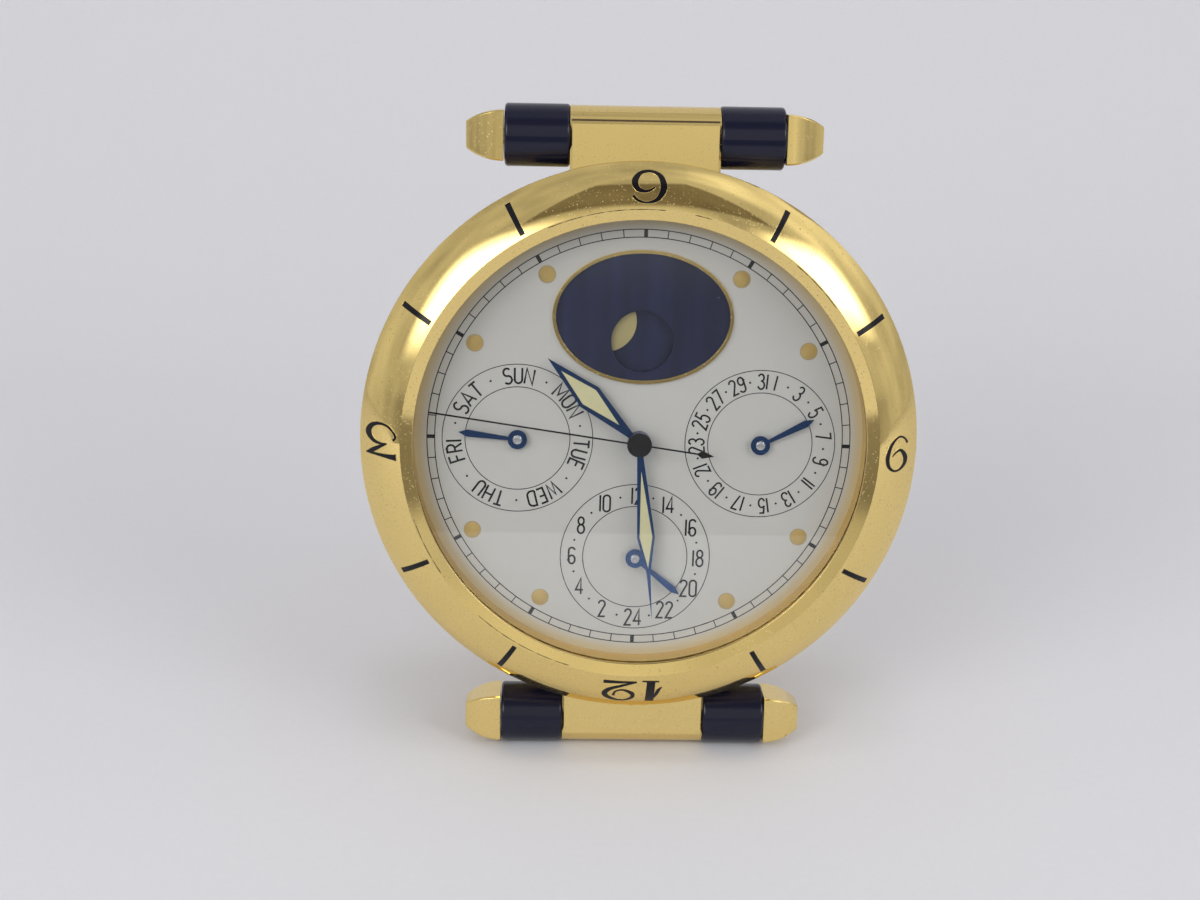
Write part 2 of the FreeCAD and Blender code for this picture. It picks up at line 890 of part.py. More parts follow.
def seconds_hand():
    """A needle with a spearhead at the end of its tail, its arbor and the cap over the hub."""
    half, tail = size("seconds_half_width"), size("seconds_tail")
    end = view_radius - size("seconds_inset")
    outline = [(0.0, -tail), (size("spade_half_width"), size("spade_widest") - tail),
               (half, size("spade_length") - tail), (half, end - half), (0.0, end)]
    arbor = size("seconds_arbor")
    thick = size("hand_thickness") / 2
    angle = size("seconds_angle")
    hand("seconds_hand", outline, size("seconds_level"), size("hub_radius") / 2,
         minute_top + size("hand_gap"), arbor, angle, thick)
    Piece("hub_cap", turned(angle.value)).revolve([
        (0.0, seconds_top),
        (size("cap_radius"), seconds_top),
        (size("cap_radius"), seconds_top + size("cap_height") / 2),
        (size("cap_radius") - size("cap_height") / 2, seconds_top + size("cap_height")),
        (0.0, seconds_top + size("cap_height")),
    ])
    depth = plate_back - size("arbor_depth")
    Piece("seconds_arbor", turned(angle.value)).disc(arbor, depth, seconds_top - depth)


def sub_hand(name, place, angle):
    neck, ring_radius = size("sub_half_width") / 2, size("sub_ring")
    thick = size("hand_thickness")
    piece = Piece(name, turned(angle.value, place[0].value, place[1].value))
    piece.plate(mirrored([(neck, 0.0), (neck, ring_radius), (size("sub_half_width"),
                size("sub_widest")), (0.0, size("sub_length"))]), size("sub_level"), thick)
    piece.disc(ring_radius, size("sub_level"), thick)
    piece.hole(size("sub_arbor"), sub_top, thick)


hour_hand()
minute_hand()
seconds_hand()
sub_hand("day_hand", day_place, size("day_angle"))
sub_hand("date_hand", date_place, size("date_angle"))
sub_hand("hour24_hand", hour24_place, size("hour24_angle"))


# Wheels between the dial and the calendar plate

hour_distance = size("hour_module") * (HOUR_TEETH + MINUTE_PINION_TEETH) / 2
idler_first = size("hour_module") * (HOUR_TEETH + IDLER_TEETH) / 2
idler_second = size("hour_module") * (IDLER_TEETH + HOUR24_TEETH) / 2
minute_module = hour_distance * 2 / (CANNON_TEETH + MINUTE_WHEEL_TEETH)


def meshed(phase, teeth, bearing, other_teeth):
    """The angle of a tooth of the other wheel when the two wheels are in mesh."""
    past = phase - bearing
    return bearing + 180.0 - past * teeth / other_teeth + 180.0 / other_teeth


def idler_bearing():
    """The idler meshes with both wheels, so it stands a little off their line of centres."""
    near, far = idler_first.value, idler_second.value
    span = size("hour24_offset").value
    turn = (near * near + span * span - far * far) / (2 * near * span)
    return -90.0 + math.degrees(math.acos(turn))


minute_bearing = size("minute_wheel_bearing").value
minute_place = along_bearing(hour_distance, minute_bearing)
idler_place = along_bearing(idler_first, idler_bearing())

cannon_phase = minute_bearing
minute_phase = meshed(cannon_phase, CANNON_TEETH, minute_bearing, MINUTE_WHEEL_TEETH)
hour_phase = meshed(minute_phase, MINUTE_PINION_TEETH, minute_bearing + 180.0, HOUR_TEETH)
idler_phase = meshed(hour_phase, HOUR_TEETH, idler_bearing(), IDLER_TEETH)
second_bearing = math.degrees(math.atan2(-size("hour24_offset").value - idler_place[1].value,
                                         -idler_place[0].value))
hour24_phase = meshed(idler_phase, IDLER_TEETH, second_bearing, HOUR24_TEETH)

wheel_top = wheel_bottom + size("wheel_thickness")
sink_bottom = sink_floor + size("wheel_lift")
sink_top = sink_bottom + size("wheel_thickness")
rest_gap = size("rest_gap")
arbor_top = sub_top + size("arbor_proud")


def at(place, phase=0.0):
    return turned(-phase, place[0].value, place[1].value)


def root_radius(teeth, module):
    return module * (teeth / 2 - ROOT_DEPTH)


def cannon_pinion():
    """The minute hand's pipe with its pinion, standing in the calendar plate's sink."""
    piece = Piece("cannon_pinion", turned(-cannon_phase))
    root = root_radius(CANNON_TEETH, minute_module)
    low = sink_floor + rest_gap
    piece.revolve([(seconds_bore, low), (root, low), (root, sink_top), (cannon_outer, sink_top),
                   (cannon_outer, minute_top), (seconds_bore, minute_top)])
    tooth(piece, CANNON_TEETH, minute_module, sink_bottom, size("wheel_thickness"))


def hour_wheel():
    piece = Piece("hour_wheel", turned(-hour_phase))
    low = sink_top + rest_gap
    root = root_radius(HOUR_TEETH, size("hour_module"))
    piece.revolve([(hour_bore, low), (hour_pipe, low), (hour_pipe, wheel_bottom),
                   (root, wheel_bottom), (root, wheel_top), (hour_pipe, wheel_top),
                   (hour_pipe, hour_top), (hour_bore, hour_top)])
    tooth(piece, HOUR_TEETH, size("hour_module"), wheel_bottom, size("wheel_thickness"))


def minute_wheel():
    """The wheel driven by the cannon pinion, with the pinion that drives the hour wheel."""
    piece = Piece("minute_wheel", at(minute_place, minute_phase))
    pivot = size("pivot_radius")
    foot = sink_floor - size("pivot_length")
    low = sink_floor + rest_gap
    root = root_radius(MINUTE_WHEEL_TEETH, minute_module)
    leaf = root_radius(MINUTE_PINION_TEETH, size("hour_module"))
    piece.revolve([(0.0, foot), (pivot, foot), (pivot, low), (pivot * 2, low),
                   (pivot * 2, sink_bottom), (root, sink_bottom), (root, sink_top),
                   (leaf, sink_top), (leaf, wheel_top), (0.0, wheel_top)])
    tooth(piece, MINUTE_WHEEL_TEETH, minute_module, sink_bottom, size("wheel_thickness"))
    tooth(piece, MINUTE_PINION_TEETH, size("hour_module"), sink_top + rest_gap,
          wheel_top - sink_top - rest_gap)


def plain_wheel(name, place, phase, rim, top=None, rim_bottom=wheel_bottom,
                rim_top=wheel_top):
    """A wheel blank on a pivot that stands in the calendar plate, with an arbor up to top."""
    piece = Piece(name, at(place, phase))
    pivot = size("pivot_radius")
    arbor = size("sub_arbor")
    foot = plate_top - size("pivot_length")
    low = plate_top + rest_gap
    outline = [(0.0, foot), (pivot, foot), (pivot, low), (pivot * 3, low),
               (pivot * 3, rim_bottom), (rim, rim_bottom), (rim, rim_top)]
    if top:
        outline += [(arbor, rim_top), (arbor, top), (0.0, top)]
    else:
        outline.append((0.0, rim_top))
    piece.revolve(outline)
    return piece


def star_wheel(piece, teeth, tip, root, bottom, height):
    """Pointed teeth round a blank, as on a wheel that a sprung jumper holds in place."""
    half = tip * (math.pi / teeth * POINTED_SHARE)
    sunk = root - half * ROOT_FLAT
    outline = [(sunk, -half), (tip, 0.0), (sunk, half)]
    piece.polar(piece.plate(outline, bottom, height), teeth)


def calendar_wheels():
    thick = size("wheel_thickness")
    module = size("hour_module")
    idler = plain_wheel("idler_wheel", idler_place, idler_phase,
                        root_radius(IDLER_TEETH, module), wheel_top + rest_gap)
    tooth(idler, IDLER_TEETH, module, wheel_bottom, thick)
    hour24 = plain_wheel("hour24_wheel", hour24_place, hour24_phase,
                         root_radius(HOUR24_TEETH, module), arbor_top)
    tooth(hour24, HOUR24_TEETH, module, wheel_bottom, thick)
    for name, place, teeth, tip in (("day_star", day_place, DAY_TEETH, size("day_star_radius")),
                                    ("date_star", date_place, DATE_TEETH,
                                     size("date_star_radius"))):
        root = tip * (1 - POINTED_DEPTH / (teeth + POINTED_SPREAD))
        piece = plain_wheel(name, place, 0.0, root, arbor_top)
        star_wheel(piece, teeth, tip, root, wheel_bottom, thick)


moon_top = dial_back - size("moon_inlay") - size("moon_clearance")
moon_bottom = moon_top - size("moon_disc_thickness")


def moon_disc():
    """The toothed disc behind the aperture, with two moons laid on it."""
    phase = size("moon_phase").value
    tip = size("moon_disc_radius")
    root = tip - size("moon_tooth")
    disc = plain_wheel("moon_disc", moon_place, phase, root, rim_bottom=moon_bottom,
                       rim_top=moon_top)
    star_wheel(disc, MOON_TEETH, tip, root, moon_bottom, size("moon_disc_thickness"))
    moons = Piece("moons", at(moon_place, phase))
    for side in (1, -1):
        moons.disc(size("moon_radius"), moon_top, size("moon_inlay"), size("moon_orbit") * side)


def jumper(name, place, tip, facing, bottom, thick):
    """A flat spring whose pointed nose stands at the tips of a star wheel's teeth."""
    piece = Piece(name, at(place, facing))
    gap = size("jumper_gap")
    reach = size("jumper_length")
    arm = size("jumper_arm")
    foot = arm * 3
    near = tip + gap
    piece.plate([(near, 0.0), (near + arm * 2, -arm), (near + arm * 3, 0.0),
                 (near + arm * 3, reach), (near + arm * 3 + foot, reach),
                 (near + arm * 3 + foot, reach + foot * 2), (near + arm, reach + foot * 2),
                 (near + arm, reach), (near + arm * 2, reach - arm), (near + arm * 2, arm)],
                bottom, thick)
    piece.disc(foot * 0.8, plate_top, bottom - plate_top, near + arm * 2 + foot / 2,
               reach + foot)


def calendar_plate():
    """The plate that carries the wheels, sunk at its centre for the minute wheel."""
    piece = Piece("calendar_plate")
    clear = size("pipe_gap")
    sink = size("minute_wheel_sink")
    pivot = size("pivot_radius") + clear
    piece.disc(movement_radius, plate_back, size("calendar_plate"))
    tip = minute_module * (MINUTE_WHEEL_TEETH / 2 + 1) + size("sink_margin")
    piece.hole(tip, plate_top, sink, *minute_place)
    piece.hole(root_radius(CANNON_TEETH, minute_module) + size("sink_margin") * 2, plate_top,
               sink)
    piece.hole(seconds_bore, plate_top, size("calendar_plate"))
    piece.hole(pivot, plate_top, sink + size("pivot_length") + clear, *minute_place)
    for place in (day_place, date_place, hour24_place, moon_place, idler_place):
        piece.hole(pivot, plate_top, size("pivot_length") + clear, *place)
    for place in foot_places:
        piece.hole(size("foot_radius") + clear, plate_top, size("calendar_plate"), *place)


cannon_pinion()
hour_wheel()
minute_wheel()
calendar_wheels()
moon_disc()
jumper("day_jumper", day_place, size("day_star_radius"), 180.0, wheel_bottom,
       size("jumper_thickness"))
jumper("date_jumper", date_place, size("date_star_radius"), 0.0, wheel_bottom,
       size("jumper_thickness"))
jumper("moon_jumper", moon_place, size("moon_disc_radius"), MOON_JUMPER_BEARING, moon_bottom,
       size("jumper_thickness"))
calendar_plate()


# Movement

knob_place = (size("knob_across"), length(0.0))
battery_place = (size("battery_across"), -size("battery_down"))
corrector_places = [(-size("corrector_across"), size("corrector_pitch") * step)
                    for step in (1, 0, -1)]
battery_proud = size("battery_proud")
battery_top = movement_back - battery_proud + size("battery_height")


def movement_housing():
    """The closed moulded housing of the movement, with the battery's pocket in its back."""
    piece = Piece("movement_housing")
    clear = size("pipe_gap")
    piece.disc(movement_radius, movement_back, size("movement_height"))
    piece.hole(seconds_bore, plate_back, size("arbor_depth") + clear)
    depth = battery_top - movement_back
    piece.hole(size("battery_radius") + size("cover_gap"), battery_top, depth, *battery_place)
    reach = size("stem_depth") + clear
    piece.hole(size("stem_radius") + clear, movement_back + reach, reach, *knob_place)
    reach = size("corrector_reach") + size("corrector_travel") + clear
    for place in corrector_places:
        piece.hole(size("corrector_pin") + clear, movement_back + reach, reach, *place)


def circuit_board():
    half, low, tall = size("board_half"), size("board_low"), size("board_height")
    corner = tall / 4
    outline = mirrored([(half, low), (half, low + tall - corner), (half - corner, low + tall)])
    Piece("circuit_board").plate(outline, movement_back - size("board_thickness"),
                                 size("board_thickness"))


def battery():
    """A button cell, its narrower terminal towards the dial."""
    radius, edge = size("battery_radius"), size("battery_edge")
    low = battery_top - size("battery_height")
    Piece("battery", at(battery_place)).revolve([
        (0.0, low), (radius, low), (radius, battery_top - edge), (radius - edge * 2,
        battery_top - edge), (radius - edge * 2, battery_top), (0.0, battery_top)])


def battery_strap():
    """The contact strap over the battery, with a foot at each end on the housing."""
    thick = size("strap_thickness")
    inner = size("battery_radius") + size("cover_gap") * 4
    outer = inner + size("strap_foot")
    low = movement_back - battery_proud
    piece = Piece("battery_strap", at(battery_place))
    drawing = piece.sketch("section")
    draw_outline(drawing, [(-outer, low - thick), (outer, low - thick), (outer, movement_back),
                           (inner, movement_back), (inner, low), (-inner, low),
                           (-inner, movement_back), (-outer, movement_back)])
    piece.pad(drawing, size("strap_width"), midplane=True)


movement_housing()
circuit_board()
battery()
battery_strap()
ring("movement_ring", ring_inner, ring_outer, cover_inside + size("cover_gap"), shoulder_back)


# Back cover with its screws, the setting knob and the correctors

bush_inner = size("stem_radius") + size("pipe_gap")
bush_outer = bush_inner + size("bush_wall")
button_hole = size("corrector_radius") + size("pipe_gap")


def back_cover():
    piece = Piece("back_cover")
    thick = size("cover_thickness")
    piece.disc(recess_radius - size("cover_gap"), case_back, thick)
    piece.hole(bush_outer, cover_inside, thick, *knob_place)
    for place in corrector_places:
        piece.hole(button_hole, cover_inside, thick, *place)
    for radius, depth in ((size("screw_radius"), thick), (size("screw_head"), thick / 2)):
        drawing = piece.sketch("face", case_back + depth)
        draw_circle(drawing, screw_circle, 0.0, radius)
        piece.polar(piece.pocket(drawing, depth), COVER_SCREWS)


def back_screws():
    piece = Piece("back_screws")
    head = size("cover_thickness") / 2
    for radius, bottom, height in (
            (size("screw_head") - size("screw_slack"), case_back, head),
            (size("screw_radius") - size("screw_slack"), case_back + head,
             size("screw_length") - head)):
        piece.polar(piece.disc(radius, bottom, height, screw_circle), COVER_SCREWS)


def setting_knob():
    """A fluted knob on a stem that runs in a bush through the cover."""
    top = case_back - size("knob_gap")
    low = top - size("knob_height")
    radius, edge = size("knob_radius"), size("knob_edge")
    knob = Piece("setting_knob", at(knob_place))
    knob.revolve([(0.0, low), (radius - edge, low), (radius, low + edge, edge),
                  (radius, top - edge), (radius - edge, top), (0.0, top)])
    drawing = knob.sketch("face", top)
    draw_circle(drawing, radius + edge / 2, 0.0, edge)
    knob.polar(knob.pocket(drawing, size("knob_height")), KNOB_FLUTES)
    grip = size("knob_height") - edge
    knob.hole(size("stem_radius"), top, grip)
    end = movement_back + size("stem_depth")
    Piece("setting_stem", at(knob_place)).disc(size("stem_radius"), top - grip,
                                               end - top + grip)
    Piece("knob_bush", at(knob_place)).revolve([
        (bush_inner, case_back), (bush_outer, case_back), (bush_outer, cover_inside),
        (bush_outer + size("bush_flange"), cover_inside),
        (bush_outer + size("bush_flange"), cover_inside + size("bush_flange")),
        (bush_inner, cover_inside + size("bush_flange"))])


def corrector(name, place):
    """A push button kept in by its flange, with a pin that reaches into the movement."""
    radius, pin = size("corrector_radius"), size("corrector_pin")
    low = case_back - size("corrector_rise")
    flange = cover_inside + rest_gap
    top = movement_back + size("corrector_reach")
    edge = radius / 4
    Piece(name, at(place)).revolve([
        (0.0, low), (radius - edge, low), (radius, low + edge, edge), (radius, flange),
        (size("corrector_flange"), flange),
        (size("corrector_flange"), flange + size("corrector_flange_height")),
        (pin, flange + size("corrector_flange_height")), (pin, top), (0.0, top)])


back_cover()
back_screws()
setting_knob()
for name, place in zip(("day_corrector", "moon_corrector", "date_corrector"),
                       corrector_places):
    corrector(name, place)
ring("back_gasket", gasket_in, gasket_out, cover_inside, cover_inside + size("gasket_height"))


# Strut

lean = size("lean_back")
open_angle = size("strut_opening")
pin_level = case_back - size("strut_base") - size("strut_clear") - size("strut_barrel")
pin_up = size("strut_height")
ear_inner = size("strut_barrel_half") + size("strut_ear_gap")
ear_outer = ear_inner + size("strut_ear")


def stand_height():
    """How high the dial's centre stands when the lower rollers touch the table."""
    return (size("roller_radius") + bar_height * cosine(lean)
            + size("bar_depth") * cosine(90.0 - lean))


def strut_reach():
    """From the hinge pin to the sole, along the opened leg."""
    height = stand_height() + pin_up * cosine(lean) + pin_level * cosine(90.0 - lean)
    return height / cosine(open_angle - lean)


def strut_bracket():
    piece = Piece("strut_bracket")
    round_end = size("strut_barrel") + size("strut_clear") / 2
    skirt = size("strut_skirt")
    base = case_back - size("strut_base")
    drawing = piece.sketch("side")
    draw_outline(drawing, [
        (pin_up + skirt, case_back), (pin_up + skirt, base), (pin_up + round_end, pin_level),
        (pin_up - round_end, pin_level), (pin_up - skirt, base), (pin_up - skirt, case_back)])
    piece.pad(drawing, ear_outer * 2, midplane=True)
    drawing = piece.sketch("side")
    draw_circle(drawing, pin_up, pin_level, round_end)
    piece.pad(drawing, ear_outer * 2, midplane=True)
    drawing = piece.sketch("face", base)
    draw_outline(drawing, [(-ear_inner, pin_up - skirt * 2), (ear_inner, pin_up - skirt * 2),
                           (ear_inner, pin_up + skirt * 2), (-ear_inner, pin_up + skirt * 2)])
    piece.pocket(drawing, skirt * 3)
    drawing = piece.sketch("side")
    draw_circle(drawing, pin_up, pin_level, size("strut_pin"))
    piece.pocket(drawing, ear_outer * 3, midplane=True)
    across = Placement(Vector(0, pin_up.value, pin_level.value),
                       Rotation(Vector(0, 1, 0), 90))
    Piece("strut_pin", across).disc(size("strut_pin"), -ear_outer, ear_outer * 2)


def strut_leg():
    """The folding leg, cut flat at its end where it meets the table."""
    place = Placement(Vector(0, pin_up.value, pin_level.value),
                      Rotation(Vector(1, 0, 0), open_angle.value))
    piece = Piece("strut_leg", place)
    half = size("strut_thickness") / 2
    reach = strut_reach()
    slope = half * tangent(open_angle - lean)
    width = size("strut_barrel_half")
    drawing = piece.sketch("side")
    draw_circle(drawing, 0.0, 0.0, size("strut_barrel"))
    piece.pad(drawing, width * 2, midplane=True)
    drawing = piece.sketch("side")
    start = -size("strut_barrel") / 2
    draw_outline(drawing, [(start, -half), (start, half), (slope - reach, half),
                           (-slope - reach, -half)])
    piece.pad(drawing, width * 2, midplane=True)
    drawing = piece.sketch("side")
    draw_circle(drawing, 0.0, 0.0, size("strut_pin") + size("strut_pin_gap"))
    piece.pocket(drawing, width * 3, midplane=True)
    foot = size("strut_foot_half")
    end = -reach - size("strut_thickness") * 2
    for side in (1, -1):
        drawing = piece.sketch("face", size("strut_thickness"))
        draw_outline(drawing, [(width * side, -size("strut_barrel") * 2),
                               (foot * side, end), (width * 2 * side, end),
                               (width * 2 * side, -size("strut_barrel") * 2)])
        piece.pocket(drawing, size("strut_thickness") * 2)


strut_bracket()
strut_leg()


# Bars: horn with its tube, rod, rollers and end caps. The lower bar is the upper one turned
# half round about the clock's axis.

half_tube = size("tube_length") / 2
roller_end = half_tube + size("roller_length")
cap_start = roller_end + size("cap_gap")


def bar_place(upper):
    side = 1 if upper else -1
    return Placement(Vector(0, side * bar_height.value, -size("bar_depth").value),
                     Rotation(Vector(0, 1, 0), 90))


def horn(name, upper):
    """The tube and the block that joins it to the case, bevelled round its front."""
    piece = Piece(name, Placement() if upper else turned(180.0))
    centre, depth = bar_height, -size("bar_depth")
    width, radius = size("tube_length"), size("tube_radius")
    inside = case_radius - size("horn_root")
    reach = centre + radius - size("horn_reach")
    for outline in ([(inside, depth), (reach, depth), (reach, size("case_front")),
                     (inside, size("case_front"))],
                    [(inside, depth - radius), (centre, depth - radius), (centre, depth),
                     (inside, depth)]):
        drawing = piece.sketch("side")
        draw_outline(drawing, outline)
        piece.pad(drawing, width, midplane=True)
    drawing = piece.sketch("side")
    draw_circle(drawing, centre, depth, radius)
    piece.pad(drawing, width, midplane=True)
    drawing = piece.sketch("side")
    draw_circle(drawing, centre, depth, size("rod_radius") + size("rod_gap"))
    piece.pocket(drawing, width * 2, midplane=True)
    piece.hole(case_radius, size("case_front") + size("horn_seat"), radius * 4)

    def front_edge(edge):
        box = edge.BoundBox
        level = size("case_front").value
        flat = abs(box.ZMin - level) < 1e-6 and abs(box.ZMax - level) < 1e-6
        return flat and edge.Curve.TypeId == "Part::GeomLine"

    piece.chamfer(front_edge, size("horn_bevel"))


def rod(name, upper):
    reach = cap_start + size("cap_grip")
    Piece(name, bar_place(upper)).disc(size("rod_radius"), -reach, reach * 2)


def rollers(name, upper):
    piece = Piece(name, bar_place(upper))
    bore, radius = size("rod_radius") + size("rod_gap"), size("roller_radius")
    edge = size("roller_round")
    for side in (1, -1):
        near, far = half_tube * side, roller_end * side
        turn = edge * side
        piece.revolve([(bore, near), (radius - edge, near), (radius, near + turn, turn),
                       (radius, far - turn), (radius - edge, far, turn), (bore, far)])


def caps(name, upper):
    """Square caps with swelling sides and broken edges that narrow to a flat end."""
    piece = Piece(name, bar_place(upper))
    base, tip = size("cap_base") / 2, size("cap_tip") / 2
    middle = (base + tip) / 2 + size("cap_swell")
    for side in (1, -1):
        sections = []
        for half, share in ((base, 0.0), (middle, 0.5), (tip, 1.0)):
            flat = half - size("cap_edge")
            drawing = piece.sketch("face", (cap_start + size("cap_length") * share) * side)
            draw_outline(drawing, [(-flat, -half), (flat, -half), (half, -flat), (half, flat),
                                   (flat, half), (-flat, half), (-half, flat), (-half, -flat)])
            sections.append(drawing)
        loft = piece.feature("AdditiveLoft", sections[0])
        loft.Sections = sections[1:]
        drawing = piece.sketch("face", cap_start * side)
        draw_circle(drawing, 0.0, 0.0, size("rod_radius"))
        bore = piece.pocket(drawing, size("cap_grip"))
        bore.Reversed = side > 0


for name, upper in (("top", True), ("bottom", False)):
    horn(name + "_horn", upper)
    rod(name + "_rod", upper)
    rollers(name + "_rollers", upper)
    caps(name + "_caps", upper)


# The whole clock is leaned back, stood on the table and centred over its footprint

doc.recompute()
failed = [item.Name for item in doc.Objects if {"Invalid", "Error"} & set(item.State)]
if failed:
    raise RuntimeError("these features did not compute: " + ", ".join(failed))


# The pieces that stand level on the table. The case, with all that it holds, is turned on
# them by a small angle.
LEVEL_PIECES = ("horn", "rod", "rollers", "caps", "strut")


def stood(forward):
    spot = Vector(0, forward, stand_height().value)
    return Placement(spot, Rotation(Vector(1, 0, 0), 90.0 - lean.value))


def placed(forward):
    for item, place in sub_parts:
        level = any(word in item.Label.split("_") for word in LEVEL_PIECES)
        turn = Placement() if level else turned(size("dial_turn").value)
        item.Placement = stood(forward).multiply(turn).multiply(place)
    doc.recompute()


placed(0.0)
whole = Part.makeCompound([item.Shape for item, place in sub_parts]).optimalBoundingBox()
placed(-(whole.YMin + whole.YMax) / 2)

os.makedirs("parts", exist_ok=True)
for item, place in sub_parts:
    shape = item.Shape
    if shape.isNull() or not shape.isValid() or not shape.Solids:
        raise RuntimeError("this sub-part has no sound solid: " + item.Label)
for item, place in sub_parts:
    item.Shape.exportStep(f"parts/{item.Label}.step")
print(len(sub_parts), "sub-parts; the clock stands forward by",
      round(-(whole.YMin + whole.YMax) / 2, 4))
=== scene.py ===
import json
import math

import bmesh
import bpy
from mathutils import Euler, Matrix, Vector
from mathutils.bvhtree import BVHTree


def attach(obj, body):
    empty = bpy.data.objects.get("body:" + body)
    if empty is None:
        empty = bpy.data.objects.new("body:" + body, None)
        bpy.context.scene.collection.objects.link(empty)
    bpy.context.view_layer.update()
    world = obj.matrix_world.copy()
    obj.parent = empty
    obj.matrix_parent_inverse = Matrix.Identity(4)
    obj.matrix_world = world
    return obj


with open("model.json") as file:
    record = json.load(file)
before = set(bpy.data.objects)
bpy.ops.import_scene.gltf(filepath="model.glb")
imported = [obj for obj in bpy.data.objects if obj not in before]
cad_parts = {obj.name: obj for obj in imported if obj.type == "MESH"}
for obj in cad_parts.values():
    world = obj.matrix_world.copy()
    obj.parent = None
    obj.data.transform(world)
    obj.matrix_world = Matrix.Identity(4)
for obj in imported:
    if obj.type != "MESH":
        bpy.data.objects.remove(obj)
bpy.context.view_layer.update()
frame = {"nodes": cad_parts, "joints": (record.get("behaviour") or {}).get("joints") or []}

# Looks of the desk clock with a calendar dial.
# Print, numerals and small details are drawn in the clock's own frame, in millimetres:
# X to the viewer's right, Y towards 12 o'clock and Z out of the dial, zero on the dial's
# face at its centre. CLOCK carries them to where the clock stands, in metres, and ON_CLOCK
# brings points from there back to the clock's own frame.

MM = 0.001
JOINTS = {joint["name"]: joint for joint in frame["joints"]}
DIAL_CENTRE = Vector(JOINTS["minute_turn"]["pos_m"])
OUT_OF_DIAL = -Vector(JOINTS["minute_turn"]["axis"])
TO_DATE = Vector(JOINTS["date_turn"]["pos_m"]) - DIAL_CENTRE
ACROSS = TO_DATE.normalized()
UP = OUT_OF_DIAL.cross(ACROSS)
LEAN = Matrix((ACROSS, UP, OUT_OF_DIAL)).transposed().to_4x4()
SET_BACK = Matrix.Translation(DIAL_CENTRE) @ LEAN
CLOCK = SET_BACK @ Matrix.Scale(MM, 4)
ON_CLOCK = CLOCK.inverted()


# Camera: a 52 mm lens close in front of the clock, looking down at it. Its place and its turn
# are given in the clock's own frame.

CAMERA_PLACE = (-13.2, 61.51, 274.9)
CAMERA_TURN = (-12.986, -1.06, 1.682)
CAMERA_LENS = 52.0
CAMERA_SENSOR = 36.0
# In metres, so that other views can come close to the clock
CAMERA_NEAREST = 0.01

camera_data = bpy.data.cameras.new("camera")
camera_data.lens = CAMERA_LENS
camera_data.sensor_width = CAMERA_SENSOR
camera_data.clip_start = CAMERA_NEAREST
camera_turn = Euler([math.radians(angle) for angle in CAMERA_TURN]).to_matrix().to_4x4()
camera = bpy.data.objects.new("camera", camera_data)
camera.matrix_world = SET_BACK @ Matrix.Translation(Vector(CAMERA_PLACE) * MM) @ camera_turn
bpy.context.scene.collection.objects.link(camera)
bpy.context.scene.camera = camera
bpy.context.scene.view_settings.view_transform = "Standard"


# Shader helpers

def rgb(red, green, blue):
    """A colour written as it shows on screen, from 0 to 255, as the shaders take it."""
    def straight(value):
        value /= 255
        return value / 12.92 if value <= 0.04045 else ((value + 0.055) / 1.055) ** 2.4
    return (straight(red), straight(green), straight(blue), 1.0)


class Shader:
    """The nodes of one material or of one shared effect."""

    def __init__(self, tree):
        self.tree = tree

    def node(self, kind, **settings):
        made = self.tree.nodes.new(kind)
        for name, value in settings.items():
            setattr(made, name, value)
        return made

    def feed(self, socket, value):
        if isinstance(value, bpy.types.NodeSocket):
            self.tree.links.new(value, socket)
        elif value is not None:
            socket.default_value = value

    def math(self, operation, first, second=None, clamp=False):
        made = self.node("ShaderNodeMath", operation=operation, use_clamp=clamp)
        self.feed(made.inputs[0], first)
        self.feed(made.inputs[1], second)
        return made.outputs[0]

    def ramp(self, value, *stops):
        """A smooth scale of greys or colours; each stop is (place, colour)."""
        made = self.node("ShaderNodeValToRGB")
        self.feed(made.inputs[0], value)
        elements = made.color_ramp.elements
        while len(elements) < len(stops):
            elements.new(0.5)
        for element, (place, colour) in zip(elements, stops):
            element.position = place
            element.color = colour if isinstance(colour, tuple) else (colour,) * 3 + (1.0,)
        return made.outputs[0]

    def mix(self, share, first, second, blend="MIX"):
        made = self.node("ShaderNodeMix", data_type="RGBA", blend_type=blend)
        self.feed(made.inputs[0], share)
        self.feed(made.inputs[6], first)
        self.feed(made.inputs[7], second)
        return made.outputs[2]

    def between(self, share, low, high):
        """A value from low to high as the share goes from 0 to 1."""
        made = self.node("ShaderNodeMapRange")
        self.feed(made.inputs[0], share)
        made.inputs[3].default_value = low
        made.inputs[4].default_value = high
        return made.outputs[0]

    def span(self, value, start, end):
        """From 0 to 1 as a value goes from start to end, eased at both."""
        made = self.node("ShaderNodeMapRange", interpolation_type="SMOOTHSTEP")
        self.feed(made.inputs[0], value)
        made.inputs[1].default_value = start
        made.inputs[2].default_value = end
        return made.outputs[0]

    def noise(self, where, scale, detail=3.0, roughness=0.5):
        made = self.node("ShaderNodeTexNoise")
        self.feed(made.inputs["Vector"], where)
        self.feed(made.inputs["Scale"], scale)
        made.inputs["Detail"].default_value = detail
        made.inputs["Roughness"].default_value = roughness
        return made.outputs[0]

    def bump(self, height, strength, distance=0.0001, normal=None):
        made = self.node("ShaderNodeBump")
        made.inputs["Distance"].default_value = distance
        self.feed(made.inputs["Strength"], strength)
        self.feed(made.inputs["Height"], height)
        self.feed(made.inputs["Normal"], normal)
        return made.outputs[0]

    def soft_edges(self, radius):
        """Normals rounded at sharp edges, as polished metal has them, radius in mm."""
        made = self.node("ShaderNodeBevel", samples=4)
        made.inputs["Radius"].default_value = radius * MM
        return made.outputs[0]

    def effect(self, group, **values):
        made = self.node("ShaderNodeGroup")
        made.node_tree = group
        for name, value in values.items():
            self.feed(made.inputs[name.replace("_", " ").capitalize()], value)
        return made.outputs


